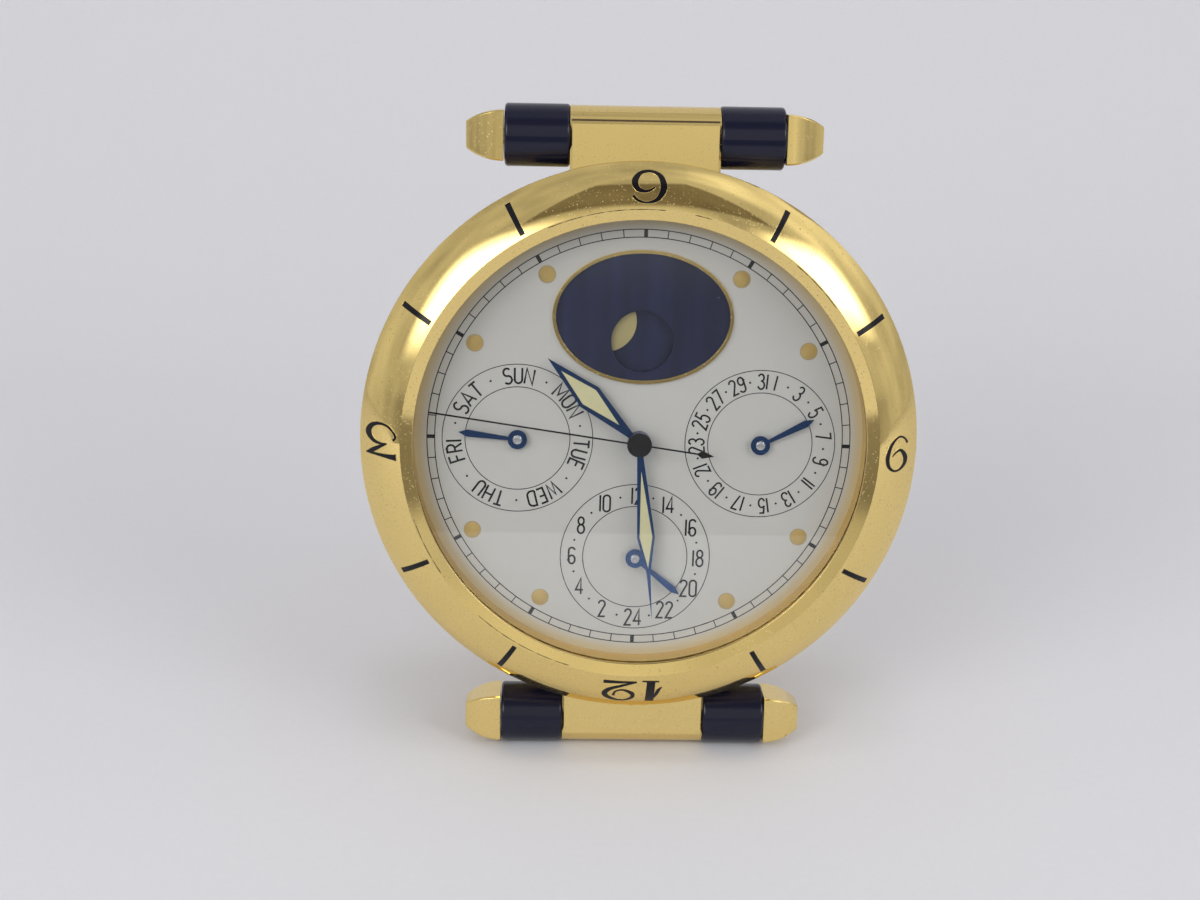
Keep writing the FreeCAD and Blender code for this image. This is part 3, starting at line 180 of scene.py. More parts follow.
def shared_effect(name, inputs, outputs):
    """An empty node group with named inputs (name, default) and outputs (name, kind)."""
    group = bpy.data.node_groups.new(name, "ShaderNodeTree")
    for label, default in inputs:
        socket = group.interface.new_socket(label, in_out="INPUT", socket_type="NodeSocketFloat")
        socket.default_value = default
    for label, kind in outputs:
        group.interface.new_socket(label, in_out="OUTPUT", socket_type="NodeSocket" + kind)
    shader = Shader(group)
    start = shader.node("NodeGroupInput").outputs
    end = shader.node("NodeGroupOutput").inputs
    return group, shader, start, end


def object_place(shader):
    """Where a point lies on its piece, in metres."""
    return shader.node("ShaderNodeTexCoord").outputs["Object"]


def make_specks():
    """Small scattered spots, as of tarnish or dust, each of its own size."""
    group, shader, given, out = shared_effect(
        "scattered_specks", [("Scale", 600.0), ("Share", 0.3), ("Size", 0.25)],
        [("Mask", "Float")])
    where = object_place(shader)
    cells = shader.node("ShaderNodeTexVoronoi", feature="F1")
    shader.feed(cells.inputs["Vector"], where)
    shader.feed(cells.inputs["Scale"], given["Scale"])
    chosen = shader.node("ShaderNodeSeparateColor")
    shader.feed(chosen.inputs[0], cells.outputs["Color"])
    reach = shader.math("MULTIPLY", chosen.outputs[1], given["Size"])
    inside = shader.math("SUBTRACT", 1.0, shader.math("DIVIDE", cells.outputs["Distance"], reach),
                         clamp=True)
    picked = shader.math("LESS_THAN", chosen.outputs[0], given["Share"])
    shader.feed(out["Mask"], shader.math("MULTIPLY", inside, picked))
    return group


def make_scratches():
    """Hair-fine polishing marks: noise drawn out long one way, in two directions."""
    group, shader, given, out = shared_effect("polishing_marks", [("Scale", 900.0)],
                                              [("Mask", "Float")])
    where = object_place(shader)
    heights = []
    for turn in (0.5, 2.1):
        stretched = shader.node("ShaderNodeMapping")
        stretched.inputs["Rotation"].default_value = (turn, turn * 0.7, turn * 1.3)
        stretched.inputs["Scale"].default_value = (1.0, 0.04, 0.3)
        shader.feed(stretched.inputs["Vector"], where)
        heights.append(shader.noise(stretched.outputs[0], given["Scale"], detail=2.0))
    both = shader.math("MAXIMUM", *heights)
    shader.feed(out["Mask"], shader.ramp(both, (0.60, 0.0), (0.72, 1.0)))
    return group


def make_grain():
    """An even fine grain, as of a grained dial, moulded plastic or rubber."""
    group, shader, given, out = shared_effect(
        "fine_grain", [("Scale", 4000.0), ("Depth", 0.2)], [("Normal", "Vector"),
                                                            ("Mask", "Float")])
    grain = shader.noise(object_place(shader), given["Scale"], detail=4.0, roughness=0.6)
    shader.feed(out["Normal"], shader.bump(grain, given["Depth"], distance=0.00002))
    shader.feed(out["Mask"], grain)
    return group


def make_radius():
    """How far a point lies from the dial's axis, in millimetres."""
    group, shader, _, out = shared_effect("radius_on_dial", [], [("Radius", "Float")])
    middle = shader.node("ShaderNodeVectorMath", operation="SUBTRACT")
    shader.feed(middle.inputs[0], object_place(shader))
    middle.inputs[1].default_value = CLOCK.translation
    along = shader.node("ShaderNodeVectorMath", operation="DOT_PRODUCT")
    shader.feed(along.inputs[0], middle.outputs[0])
    along.inputs[1].default_value = OUT_OF_DIAL
    distance = shader.node("ShaderNodeVectorMath", operation="LENGTH")
    shader.feed(distance.inputs[0], middle.outputs[0])
    square = shader.math("MULTIPLY", distance.outputs["Value"], distance.outputs["Value"])
    level = shader.math("MULTIPLY", along.outputs["Value"], along.outputs["Value"])
    radius = shader.math("SQRT", shader.math("SUBTRACT", square, level))
    shader.feed(out["Radius"], shader.math("DIVIDE", radius, MM))
    return group


def make_turning():
    """Fine rings about the dial's axis, left by a lathe."""
    group, shader, given, out = shared_effect(
        "lathe_rings", [("Pitch", 0.15), ("Depth", 0.1)], [("Normal", "Vector"),
                                                           ("Mask", "Float")])
    turns = shader.math("DIVIDE", shader.effect(RADIUS)["Radius"], given["Pitch"])
    rings = shader.node("ShaderNodeTexNoise", noise_dimensions="1D")
    shader.feed(rings.inputs["W"], turns)
    rings.inputs["Scale"].default_value = 1.0
    rings.inputs["Detail"].default_value = 2.0
    shader.feed(out["Normal"], shader.bump(rings.outputs[0], given["Depth"], distance=0.00003))
    shader.feed(out["Mask"], rings.outputs[0])
    return group


SPECKS = make_specks()
SCRATCHES = make_scratches()
GRAIN = make_grain()
RADIUS = make_radius()
RINGS = make_turning()


def material(name, **constants):
    """A material with one principled shader; constants go on its own sockets."""
    made = bpy.data.materials.new(name)
    made.use_nodes = True
    made.node_tree.nodes.clear()
    shader = Shader(made.node_tree)
    surface = shader.node("ShaderNodeBsdfPrincipled")
    end = shader.node("ShaderNodeOutputMaterial")
    shader.feed(end.inputs["Surface"], surface.outputs[0])
    for label, value in constants.items():
        surface.inputs[label.replace("_", " ")].default_value = value
    return made, shader, surface.inputs


# Materials

GOLD = rgb(243, 215, 140)
# Colour of the painted sheen on lacquer
GOLD_TARNISH = rgb(150, 112, 52)
GOLD_DUST = rgb(212, 192, 146)
GREY_DUST = rgb(150, 150, 156)
PAINTED_SHEEN = rgb(52, 62, 104)
DIAL_GROUND = rgb(194, 192, 188)
DIAL_CLOUDED = rgb(189, 187, 183)
DIAL_GRAIN = rgb(170, 168, 164)
# Painted light: the warmer colour of the dial's rim
PAINTED_RIM_LIGHT = rgb(188, 172, 138)
BLUED = rgb(42, 90, 148)
BLUED_DEEP = rgb(32, 70, 122)
CLEAR_GLASS = (0.97, 0.98, 0.98, 1.0)
LIGHT_THROUGH_GLASS = (0.95, 0.955, 0.955, 1.0)

# Where the painted warm light on the dial's rim starts and is full, as radii in mm
RIM_GLOW = (34.0, 36.2)
# How far polished edges are rounded, in mm
SOFT_EDGE = 0.12


def darker(colour, share):
    """A colour with that share of its light."""
    return tuple(part * share for part in colour[:3]) + (1.0,)


def gold(name, tone, polish, specks):
    """Gold plating: polished, with softened edges, marks of wiping, dull dust and small
    tarnished spots."""
    made, shader, ports = material(name)
    where = object_place(shader)
    clouds = shader.noise(where, 60.0, detail=4.0)
    spots = shader.effect(SPECKS, scale=1500.0, share=specks, size=0.33)["Mask"]
    fine = shader.effect(SPECKS, scale=4200.0, share=specks * 0.7, size=0.42)["Mask"]
    spots = shader.math("MAXIMUM", spots, shader.math("MULTIPLY", fine, 0.7))
    patches = shader.ramp(shader.noise(where, 90.0, detail=2.0), (0.42, 0.0), (0.62, 1.0))
    spots = shader.math("MULTIPLY", spots, patches)
    dust = shader.effect(SPECKS, scale=3100.0, share=0.65, size=0.55)["Mask"]
    drifts = shader.ramp(shader.noise(where, 110.0, detail=3.0), (0.36, 0.3), (0.58, 1.0))
    dust = shader.math("MULTIPLY", dust, drifts)
    warm = shader.mix(clouds, tone, darker(tone, 0.93))
    stained = shader.mix(spots, warm, GOLD_TARNISH)
    shader.feed(ports["Base Color"], shader.mix(shader.math("MULTIPLY", dust, 0.6), stained,
                                                GOLD_DUST))
    shader.feed(ports["Metallic"], shader.between(dust, 1.0, 0.45))
    rough = shader.between(clouds, polish * 0.75, polish * 1.3)
    dull = shader.math("MULTIPLY", shader.math("MAXIMUM", spots, dust), 0.35)
    shader.feed(ports["Roughness"], shader.math("ADD", rough, dull))
    lines = shader.effect(SCRATCHES, scale=700.0)["Mask"]
    shader.feed(ports["Normal"], shader.bump(lines, 0.06, distance=0.00002,
                                             normal=shader.soft_edges(SOFT_EDGE)))
    return made


def lacquer(name, colour, deep, roughness=0.12, gloss=0.25, sheen_share=0.0):
    """Glossy lacquer with faint cloudiness, fine marks and grains of dust. A painted satin sheen,
    lighter bands of colour that stand in for reflections, is drawn from 12 to 6 o'clock."""
    made, shader, ports = material(name, Specular_IOR_Level=gloss)
    where = object_place(shader)
    clouds = shader.noise(where, 140.0, detail=4.0)
    sheen = shader.node("ShaderNodeMapping")
    sheen.inputs["Scale"].default_value = (1.0, 0.02, 0.06)
    shader.feed(sheen.inputs["Vector"], where)
    sheen_bands = shader.ramp(shader.noise(sheen.outputs[0], 230.0, detail=2.0), (0.45, 0.0), (0.7, 1.0))
    ground = shader.mix(clouds, colour, deep)
    # Painted sheen: lighter streaks of colour standing in for reflections
    ground = shader.mix(shader.math("MULTIPLY", sheen_bands, sheen_share), ground, PAINTED_SHEEN)
    dust = shader.effect(SPECKS, scale=900.0, share=0.1, size=0.11)["Mask"]
    shader.feed(ports["Base Color"], shader.mix(shader.math("GREATER_THAN", dust, 0.2), ground,
                                                GREY_DUST))
    shader.feed(ports["Roughness"], shader.between(clouds, roughness * 0.7, roughness * 1.5))
    lines = shader.effect(SCRATCHES, scale=800.0)["Mask"]
    shader.feed(ports["Normal"], shader.bump(lines, 0.05, distance=0.00002))
    return made


def silvered_dial():
    """The dial's pale silver ground: nearly matt, finely grained. Its rim is painted warmer:
    painted light, as the gold round it would throw on it."""
    made, shader, ports = material("dial_silver", Metallic=0.12, Specular_IOR_Level=0.35)
    grain = shader.effect(GRAIN, scale=9000.0, depth=0.12)
    clouds = shader.noise(object_place(shader), 45.0, detail=2.0)
    ground = shader.mix(clouds, DIAL_GROUND, DIAL_CLOUDED)
    ground = shader.mix(shader.math("MULTIPLY", grain["Mask"], 0.12), ground, DIAL_GRAIN)
    # Painted light: towards its rim the dial turns warmer, as if lit by the gold round it
    painted_rim_share = shader.span(shader.effect(RADIUS)["Radius"], *RIM_GLOW)
    shader.feed(ports["Base Color"], shader.mix(painted_rim_share, ground, PAINTED_RIM_LIGHT))
    shader.feed(ports["Roughness"], shader.between(clouds, 0.46, 0.54))
    shader.feed(ports["Normal"], grain["Normal"])
    return made


def blued_steel():
    """Steel hands blued by heat: polished, so they darken or light up with what they mirror."""
    made, shader, ports = material("blue_hand", Metallic=0.95)
    clouds = shader.noise(object_place(shader), 220.0, detail=3.0)
    shader.feed(ports["Base Color"], shader.mix(clouds, BLUED, BLUED_DEEP))
    shader.feed(ports["Roughness"], shader.between(clouds, 0.14, 0.22))
    return made


def paint(name, colour, deep, roughness, depth=0.15, scale=6000.0, **constants):
    """Paint, print, rubber or plastic: one colour with a fine grain and soft clouding."""
    made, shader, ports = material(name, **constants)
    grain = shader.effect(GRAIN, scale=scale, depth=depth)
    clouds = shader.noise(object_place(shader), 300.0, detail=3.0)
    shade = shader.math("MULTIPLY", shader.math("ADD", clouds, grain["Mask"]), 0.5)
    shader.feed(ports["Base Color"], shader.mix(shade, colour, deep))
    shader.feed(ports["Roughness"], shader.between(clouds, roughness * 0.85, roughness * 1.15))
    shader.feed(ports["Normal"], grain["Normal"])
    return made


def turned_metal(name, colour, roughness, pitch=0.12, depth=0.25):
    """Bare metal faced on a lathe, with fine rings about the dial's axis."""
    made, shader, ports = material(name, Metallic=1.0)
    rings = shader.effect(RINGS, pitch=pitch, depth=depth)
    shade = shader.math("MULTIPLY", rings["Mask"], 0.5)
    shader.feed(ports["Base Color"], shader.mix(shade, colour, darker(colour, 0.82)))
    shader.feed(ports["Roughness"], shader.between(rings["Mask"], roughness * 0.8,
                                                   roughness * 1.2))
    shader.feed(ports["Normal"], rings["Normal"])
    return made


def clear_crystal():
    """Mineral crystal. Lamps shine straight through it onto the dial."""
    made, shader, ports = material("crystal_glass", Transmission_Weight=1.0, Roughness=0.0,
                                   IOR=1.5, Metallic=0.0)
    ports["Base Color"].default_value = CLEAR_GLASS
    glass = ports["Base Color"].node.outputs[0]
    end = glass.links[0].to_socket
    smears = shader.noise(object_place(shader), 35.0, detail=5.0)
    shader.feed(ports["Roughness"], shader.between(smears, 0.0, 0.012))
    through = shader.node("ShaderNodeBsdfTransparent")
    through.inputs[0].default_value = LIGHT_THROUGH_GLASS
    choice = shader.node("ShaderNodeMixShader")
    light = shader.node("ShaderNodeLightPath")
    shader.feed(choice.inputs[0], light.outputs["Is Shadow Ray"])
    shader.feed(choice.inputs[1], glass)
    shader.feed(choice.inputs[2], through.outputs[0])
    shader.feed(end, choice.outputs[0])
    return made


FINISHES = {
    "gold": gold("gold", GOLD, 0.06, 0.55),
    "black_enamel": lacquer("black_enamel", rgb(20, 18, 24), rgb(14, 13, 18)),
    "navy_lacquer": lacquer("navy_lacquer", rgb(20, 22, 46), rgb(14, 16, 36), 0.18, 0.35),
    # The moon's lacquer carries a painted sheen
    "moon_blue": lacquer("moon_blue", rgb(20, 27, 58), rgb(14, 20, 46), 0.35, 0.3,
                         sheen_share=0.35),
    "dial_silver": silvered_dial(),
    "crystal_glass": clear_crystal(),
    "seal_rubber": paint("seal_rubber", rgb(26, 26, 27), rgb(18, 18, 19), 0.7),
    "blue_hand": blued_steel(),
    "black_hand": lacquer("black_hand", rgb(22, 22, 26), rgb(14, 14, 17), 0.25),
    "lume": paint("lume", rgb(197, 192, 152), rgb(190, 182, 140), 0.75, depth=0.3),
    "amber_lume": paint("amber_lume", rgb(186, 159, 96), rgb(172, 144, 81), 0.8, depth=0.3),
    "steel": turned_metal("steel", rgb(205, 206, 208), 0.25),
    "brass": turned_metal("brass", rgb(214, 180, 104), 0.3),
    "movement_plastic": paint("movement_plastic", rgb(58, 60, 64), rgb(46, 48, 52), 0.5),
    "board": paint("board", rgb(34, 96, 58), rgb(26, 78, 46), 0.45),
    "moon_gilt": paint("moon_gilt", rgb(171, 159, 114), rgb(156, 143, 97), 0.5, Metallic=0.2),
    # Painted shadow round each round mark of the dial
    "painted_dot_shadow": paint("painted_dot_shadow", rgb(172, 156, 118), rgb(158, 142, 106), 0.8),
    # Dark paint for the painted shade at the tube's seam and for the dark line in the bezel's
    # crest
    "grime": paint("grime", rgb(84, 62, 30), rgb(58, 42, 20), 0.6),
}

for node in frame["nodes"].values():
    for place in node.material_slots:
        place.material = FINISHES[place.material.name.split(".")[0]]
frame["nodes"]["moons"].material_slots[0].material = FINISHES["moon_gilt"]


# Drawing: ribbons of ink or enamel laid on a surface

def on_clock(name):
    """The corners of a node's mesh in the clock's own frame."""
    return [ON_CLOCK @ vertex.co for vertex in frame["nodes"][name].data.vertices]


def meshed(name, build):
    """A mesh from what was drawn, with its faces turned outwards."""
    bmesh.ops.recalc_face_normals(build, faces=build.faces)
    mesh = bpy.data.meshes.new(name)
    build.to_mesh(mesh)
    build.free()
    return mesh


def dress(mesh, name, finish, body, smooth=False):
    """A finished piece in the scene, with its finish, on the body it moves with."""
    mesh.transform(CLOCK)
    mesh.materials.append(FINISHES[finish])
    for polygon in mesh.polygons:
        polygon.use_smooth = smooth
    piece = bpy.data.objects.new(name, mesh)
    bpy.context.scene.collection.objects.link(piece)
    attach(piece, body)


def flat_level(across, up):
    return 0.0


# The least cosine of half a turn that a ribbon's width follows
SHARPEST = 0.5


def around(across, up, radius, sides):
    """Points evenly round a circle, anticlockwise from 3 o'clock."""
    points = []
    for number in range(sides):
        angle = 2 * math.pi * number / sides
        points.append((across + radius * math.cos(angle), up + radius * math.sin(angle)))
    return points


class Ribbon:
    """Closed ribbons of one print, gathered into one mesh. Each lies from below to above
    the level of the surface under it."""

    def __init__(self, name, finish, body, level=flat_level, below=0.01, above=0.012):
        self.name = name
        self.finish = finish
        self.body = body
        self.level = level
        self.below = below
        self.above = above
        self.mesh = bmesh.new()

    def corners(self, across, up):
        base = self.level(across, up)
        return [self.mesh.verts.new((across, up, base + rise))
                for rise in (self.above, -self.below)]

    def stroke(self, points, widths, closed=False):
        """A ribbon along points, of an even width or of one width for each point."""
        if not isinstance(widths, (list, tuple)):
            widths = [widths] * len(points)
        count = len(points)
        rungs = []
        for number in range(count):
            here = Vector(points[number])
            before = Vector(points[number - 1]) if closed or number else None
            after = Vector(points[(number + 1) % count]) if closed or number < count - 1 else None
            way_in = (here - before).normalized() if before else (after - here).normalized()
            way_out = (after - here).normalized() if after else way_in
            along = (way_in + way_out).normalized()
            side = Vector((-along.y, along.x))
            turn = max(along.dot(way_in), SHARPEST)
            reach = side * (widths[number] / 2 / turn)
            rungs.append([self.corners(*(here + reach)), self.corners(*(here - reach))])
        last = count if closed else count - 1
        for number in range(last):
            self.join(rungs[number], rungs[(number + 1) % count])
        if not closed:
            for (left, right), order in ((rungs[0], 1), (rungs[-1], -1)):
                self.mesh.faces.new([left[0], left[1], right[1], right[0]][::order])

    def join(self, first, second):
        (a, b), (c, d) = first, second
        for face in ((a[0], b[0], d[0], c[0]), (b[1], a[1], c[1], d[1]),
                     (a[1], a[0], c[0], c[1]), (b[0], b[1], d[1], d[0])):
            self.mesh.faces.new(face)

    def dot(self, across, up, radius, sides=14):
        """A round spot."""
        rims = [self.corners(*point) for point in around(across, up, radius, sides)]
        self.mesh.faces.new([rim[0] for rim in rims])
        self.mesh.faces.new([rim[1] for rim in reversed(rims)])
        for number in range(sides):
            here, there = rims[number], rims[(number + 1) % sides]
            self.mesh.faces.new((here[0], here[1], there[1], there[0]))

    def circle(self, across, up, radius, width, sides=180):
        self.stroke(around(across, up, radius, sides), width, closed=True)

    def done(self):
        dress(meshed(self.name, self.mesh), self.name, self.finish, self.body)


def clockwise(angle, radius, across=0.0, up=0.0):
    """A point at an angle clockwise from 12 o'clock round a centre."""
    turn = math.radians(angle)
    return (across + radius * math.sin(turn), up + radius * math.cos(turn))


# Letters and figures of the dial: an even, narrow, rounded hand. Each sign is its width and
# its strokes in a box one unit high.

def bow(across, up, wide, tall, start, end, steps=14):
    """Points round part of an oval, from one angle to another."""
    points = []
    for number in range(steps + 1):
        angle = math.radians(start + (end - start) * number / steps)
        points.append((across + wide * math.cos(angle), up + tall * math.sin(angle)))
    return points


SIGNS = {
    "0": (0.40, [bow(0.20, 0.80, 0.20, 0.20, 0, 180) + bow(0.20, 0.20, 0.20, 0.20, 180, 360)
                 + [(0.40, 0.80)]]),
    "1": (0.06, [[(0.03, 1.0), (0.03, 0.0)]]),
    "2": (0.40, [bow(0.20, 0.79, 0.19, 0.21, 175, -25) + [(0.01, 0.0), (0.40, 0.0)]]),
    "3": (0.40, [bow(0.19, 0.77, 0.18, 0.23, 160, -80) + bow(0.19, 0.27, 0.21, 0.27, 80, -165)]),
    "4": (0.44, [[(0.31, 0.0), (0.31, 1.0), (0.0, 0.26), (0.44, 0.26)]]),
    "5": (0.40, [[(0.36, 1.0), (0.07, 1.0), (0.04, 0.55)]
                 + bow(0.19, 0.31, 0.20, 0.31, 130, -160)]),
    "6": (0.40, [bow(0.20, 0.80, 0.19, 0.20, 15, 180) + [(0.01, 0.26)]
                 + bow(0.20, 0.26, 0.19, 0.26, 180, 520)]),
    "7": (0.40, [[(0.0, 1.0), (0.40, 1.0), (0.13, 0.0)]]),
    "8": (0.40, [bow(0.20, 0.77, 0.17, 0.23, 0, 360), bow(0.20, 0.27, 0.20, 0.27, 0, 360)]),
    "9": (0.40, [bow(0.20, 0.20, 0.19, 0.20, 195, 360) + [(0.39, 0.74)]
                 + bow(0.20, 0.74, 0.19, 0.26, 0, 340)]),
    "A": (0.60, [[(0.0, 0.0), (0.30, 1.0), (0.60, 0.0)], [(0.10, 0.30), (0.50, 0.30)]]),
    "D": (0.50, [[(0.0, 0.0), (0.0, 1.0), (0.22, 1.0)] + bow(0.22, 0.72, 0.28, 0.28, 90, 0)
                 + bow(0.22, 0.28, 0.28, 0.28, 0, -90) + [(0.0, 0.0)]]),
    "E": (0.42, [[(0.42, 1.0), (0.0, 1.0), (0.0, 0.0), (0.42, 0.0)], [(0.0, 0.52), (0.36, 0.52)]]),
    "F": (0.42, [[(0.42, 1.0), (0.0, 1.0), (0.0, 0.0)], [(0.0, 0.50), (0.36, 0.50)]]),
    "H": (0.50, [[(0.0, 0.0), (0.0, 1.0)], [(0.50, 0.0), (0.50, 1.0)],
                 [(0.0, 0.52), (0.50, 0.52)]]),
    "I": (0.04, [[(0.02, 0.0), (0.02, 1.0)]]),
    "M": (0.66, [[(0.0, 0.0), (0.0, 1.0), (0.33, 0.25), (0.66, 1.0), (0.66, 0.0)]]),
    "N": (0.52, [[(0.0, 0.0), (0.0, 1.0), (0.52, 0.0), (0.52, 1.0)]]),
    "O": (0.54, [bow(0.27, 0.70, 0.27, 0.30, 0, 180) + bow(0.27, 0.30, 0.27, 0.30, 180, 360)
                 + [(0.54, 0.70)]]),
    "R": (0.48, [[(0.0, 0.0), (0.0, 1.0), (0.22, 1.0)] + bow(0.22, 0.74, 0.24, 0.26, 90, -90)
                 + [(0.0, 0.48)], [(0.24, 0.48), (0.48, 0.0)]]),
    "S": (0.50, [bow(0.25, 0.75, 0.23, 0.25, 35, 250) + bow(0.25, 0.26, 0.25, 0.26, 70, -145)]),
    "T": (0.52, [[(0.0, 1.0), (0.52, 1.0)], [(0.26, 1.0), (0.26, 0.0)]]),
    "U": (0.48, [[(0.0, 1.0), (0.0, 0.24)] + bow(0.24, 0.24, 0.24, 0.24, 180, 360)
                 + [(0.48, 1.0)]]),
    "W": (0.80, [[(0.0, 1.0), (0.20, 0.0), (0.40, 0.85), (0.60, 0.0), (0.80, 1.0)]]),
}


def write(ribbon, text, letters, centre, turn=0.0, radius=0.0):
    """Writes text centred on a place, or bent round it at a radius, with its middle at the
    angle turn. Letters are their height, the width of their strokes and the gap between
    them in shares of the height."""
    tall, width, gap = letters
    full = sum(SIGNS[sign][0] for sign in text) + gap * (len(text) - 1)
    start = -full / 2
    for sign in text:
        wide, strokes = SIGNS[sign]
        middle = start + wide / 2
        spin = math.radians(turn)
        left = start
        if radius:
            spin = math.radians(turn + math.degrees(middle * tall / radius))
            left = -wide / 2
        for stroke in strokes:
            points = []
            for across, up in stroke:
                x, y = (left + across) * tall, (up - 0.5) * tall + radius
                points.append((centre[0] + x * math.cos(spin) + y * math.sin(spin),
                               centre[1] - x * math.sin(spin) + y * math.cos(spin)))
            ribbon.stroke(points, width)
        start += wide + gap


# What is printed on the dial

TRACK_OUTER = 34.35
TRACK_INNER = 33.1
HAIRLINE = 0.16
FIVE_MINUTE_BAR = 0.62
RING_LINE = 0.135
SCALE_DOT = 0.18
SUBDIAL_ACROSS = 19.7
SUBDIAL_OUTER = 12.2
SUBDIAL_INNER = 8.5
SUBDIAL_MIDDLE = (SUBDIAL_OUTER + SUBDIAL_INNER) / 2
HOUR24_DOWN = 19.55
HOUR24_OUTER = 12.3
HOUR24_INNER = 8.6
HOUR24_MIDDLE = 10.4
DAYS = ("SUN", "MON", "TUE", "WED", "THU", "FRI", "SAT")
DATES = 31

# Letters of each scale: their height, the width of their strokes and the gap between them in
# shares of the height
DAY_LETTERS = (2.5, 0.33, 0.22)
DATE_FIGURES = (2.45, 0.29, 0.16)
HOUR24_FIGURES = (2.75, 0.31, 0.16)


def minute_track():
    track = Ribbon("minute_track", "black_hand", "case")
    for radius in (TRACK_INNER, TRACK_OUTER):
        track.circle(0, 0, radius, HAIRLINE, sides=360)
    for minute in range(60):
        wide = FIVE_MINUTE_BAR if minute % 5 == 0 else HAIRLINE
        track.stroke([clockwise(6 * minute, TRACK_INNER), clockwise(6 * minute, TRACK_OUTER)],
                     wide)
    track.done()


def day_scale():
    scale = Ribbon("day_scale", "black_hand", "case")
    centre = (-SUBDIAL_ACROSS, 0)
    step = 360 / len(DAYS)
    for radius in (SUBDIAL_OUTER, SUBDIAL_INNER):
        scale.circle(*centre, radius, RING_LINE)
    for number, name in enumerate(DAYS):
        write(scale, name, DAY_LETTERS, centre, number * step, SUBDIAL_MIDDLE)
        scale.dot(*clockwise((number + 0.5) * step, SUBDIAL_MIDDLE, *centre), SCALE_DOT)
    scale.done()


def date_scale():
    scale = Ribbon("date_scale", "black_hand", "case")
    centre = (SUBDIAL_ACROSS, 0)
    for radius in (SUBDIAL_OUTER, SUBDIAL_INNER):
        scale.circle(*centre, radius, RING_LINE)
    for date in range(1, DATES + 1):
        angle = date * 360 / DATES
        if date % 2:
            write(scale, str(date), DATE_FIGURES, centre, angle, SUBDIAL_MIDDLE)
        else:
            scale.dot(*clockwise(angle, SUBDIAL_MIDDLE, *centre), SCALE_DOT)
    scale.done()


def hour24_scale():
    scale = Ribbon("hour24_scale", "black_hand", "case")
    centre = (0, -HOUR24_DOWN)
    for radius in (HOUR24_OUTER, HOUR24_INNER):
        scale.circle(*centre, radius, RING_LINE)
    for hour in range(2, 25, 2):
        place = clockwise(15 * hour + 180, HOUR24_MIDDLE, *centre)
        write(scale, str(hour), HOUR24_FIGURES, place)
        scale.dot(*clockwise(15 * (hour + 1) + 180, HOUR24_MIDDLE, *centre), SCALE_DOT)
    scale.done()


minute_track()
day_scale()
date_scale()
hour24_scale()


# Numerals of the bezel: thick and thin strokes of enamel on its slope. The bezel stands half
# a turn round, so its 12 is at the bottom.

# A level above all of the clock, from which the surface is looked for
ABOVE_ALL = 50.0


def surface_of(*names):
    """The level of the outermost surface of some nodes above a point of the dial's plane."""
    points = []
    faces = []
    for name in names:
        first = len(points)
        points += on_clock(name)
        faces += [[first + number for number in face.vertices]
                  for face in frame["nodes"][name].data.polygons]
    tree = BVHTree.FromPolygons(points, faces)

    def level(across, up):
        hit = tree.ray_cast(Vector((across, up, ABOVE_ALL)), Vector((0, 0, -1)))[0]
        return hit.z if hit else 0.0
    return level


def flowing(points, steps=8):
    """Points (across, up, width) joined by a smooth curve through all of them."""
    curve = []
    for number in range(len(points) - 1):
        p0 = points[max(number - 1, 0)]
        p1, p2 = points[number], points[number + 1]
        p3 = points[min(number + 2, len(points) - 1)]
        for step in range(steps):
            t = step / steps
            curve.append(tuple(
                0.5 * (2 * b + (c - a) * t + (2 * a - 5 * b + 4 * c - d) * t * t
                       + (3 * b - a - 3 * c + d) * t ** 3)
                for a, b, c, d in zip(p0, p1, p2, p3)))
    curve.append(points[-1])
    return curve


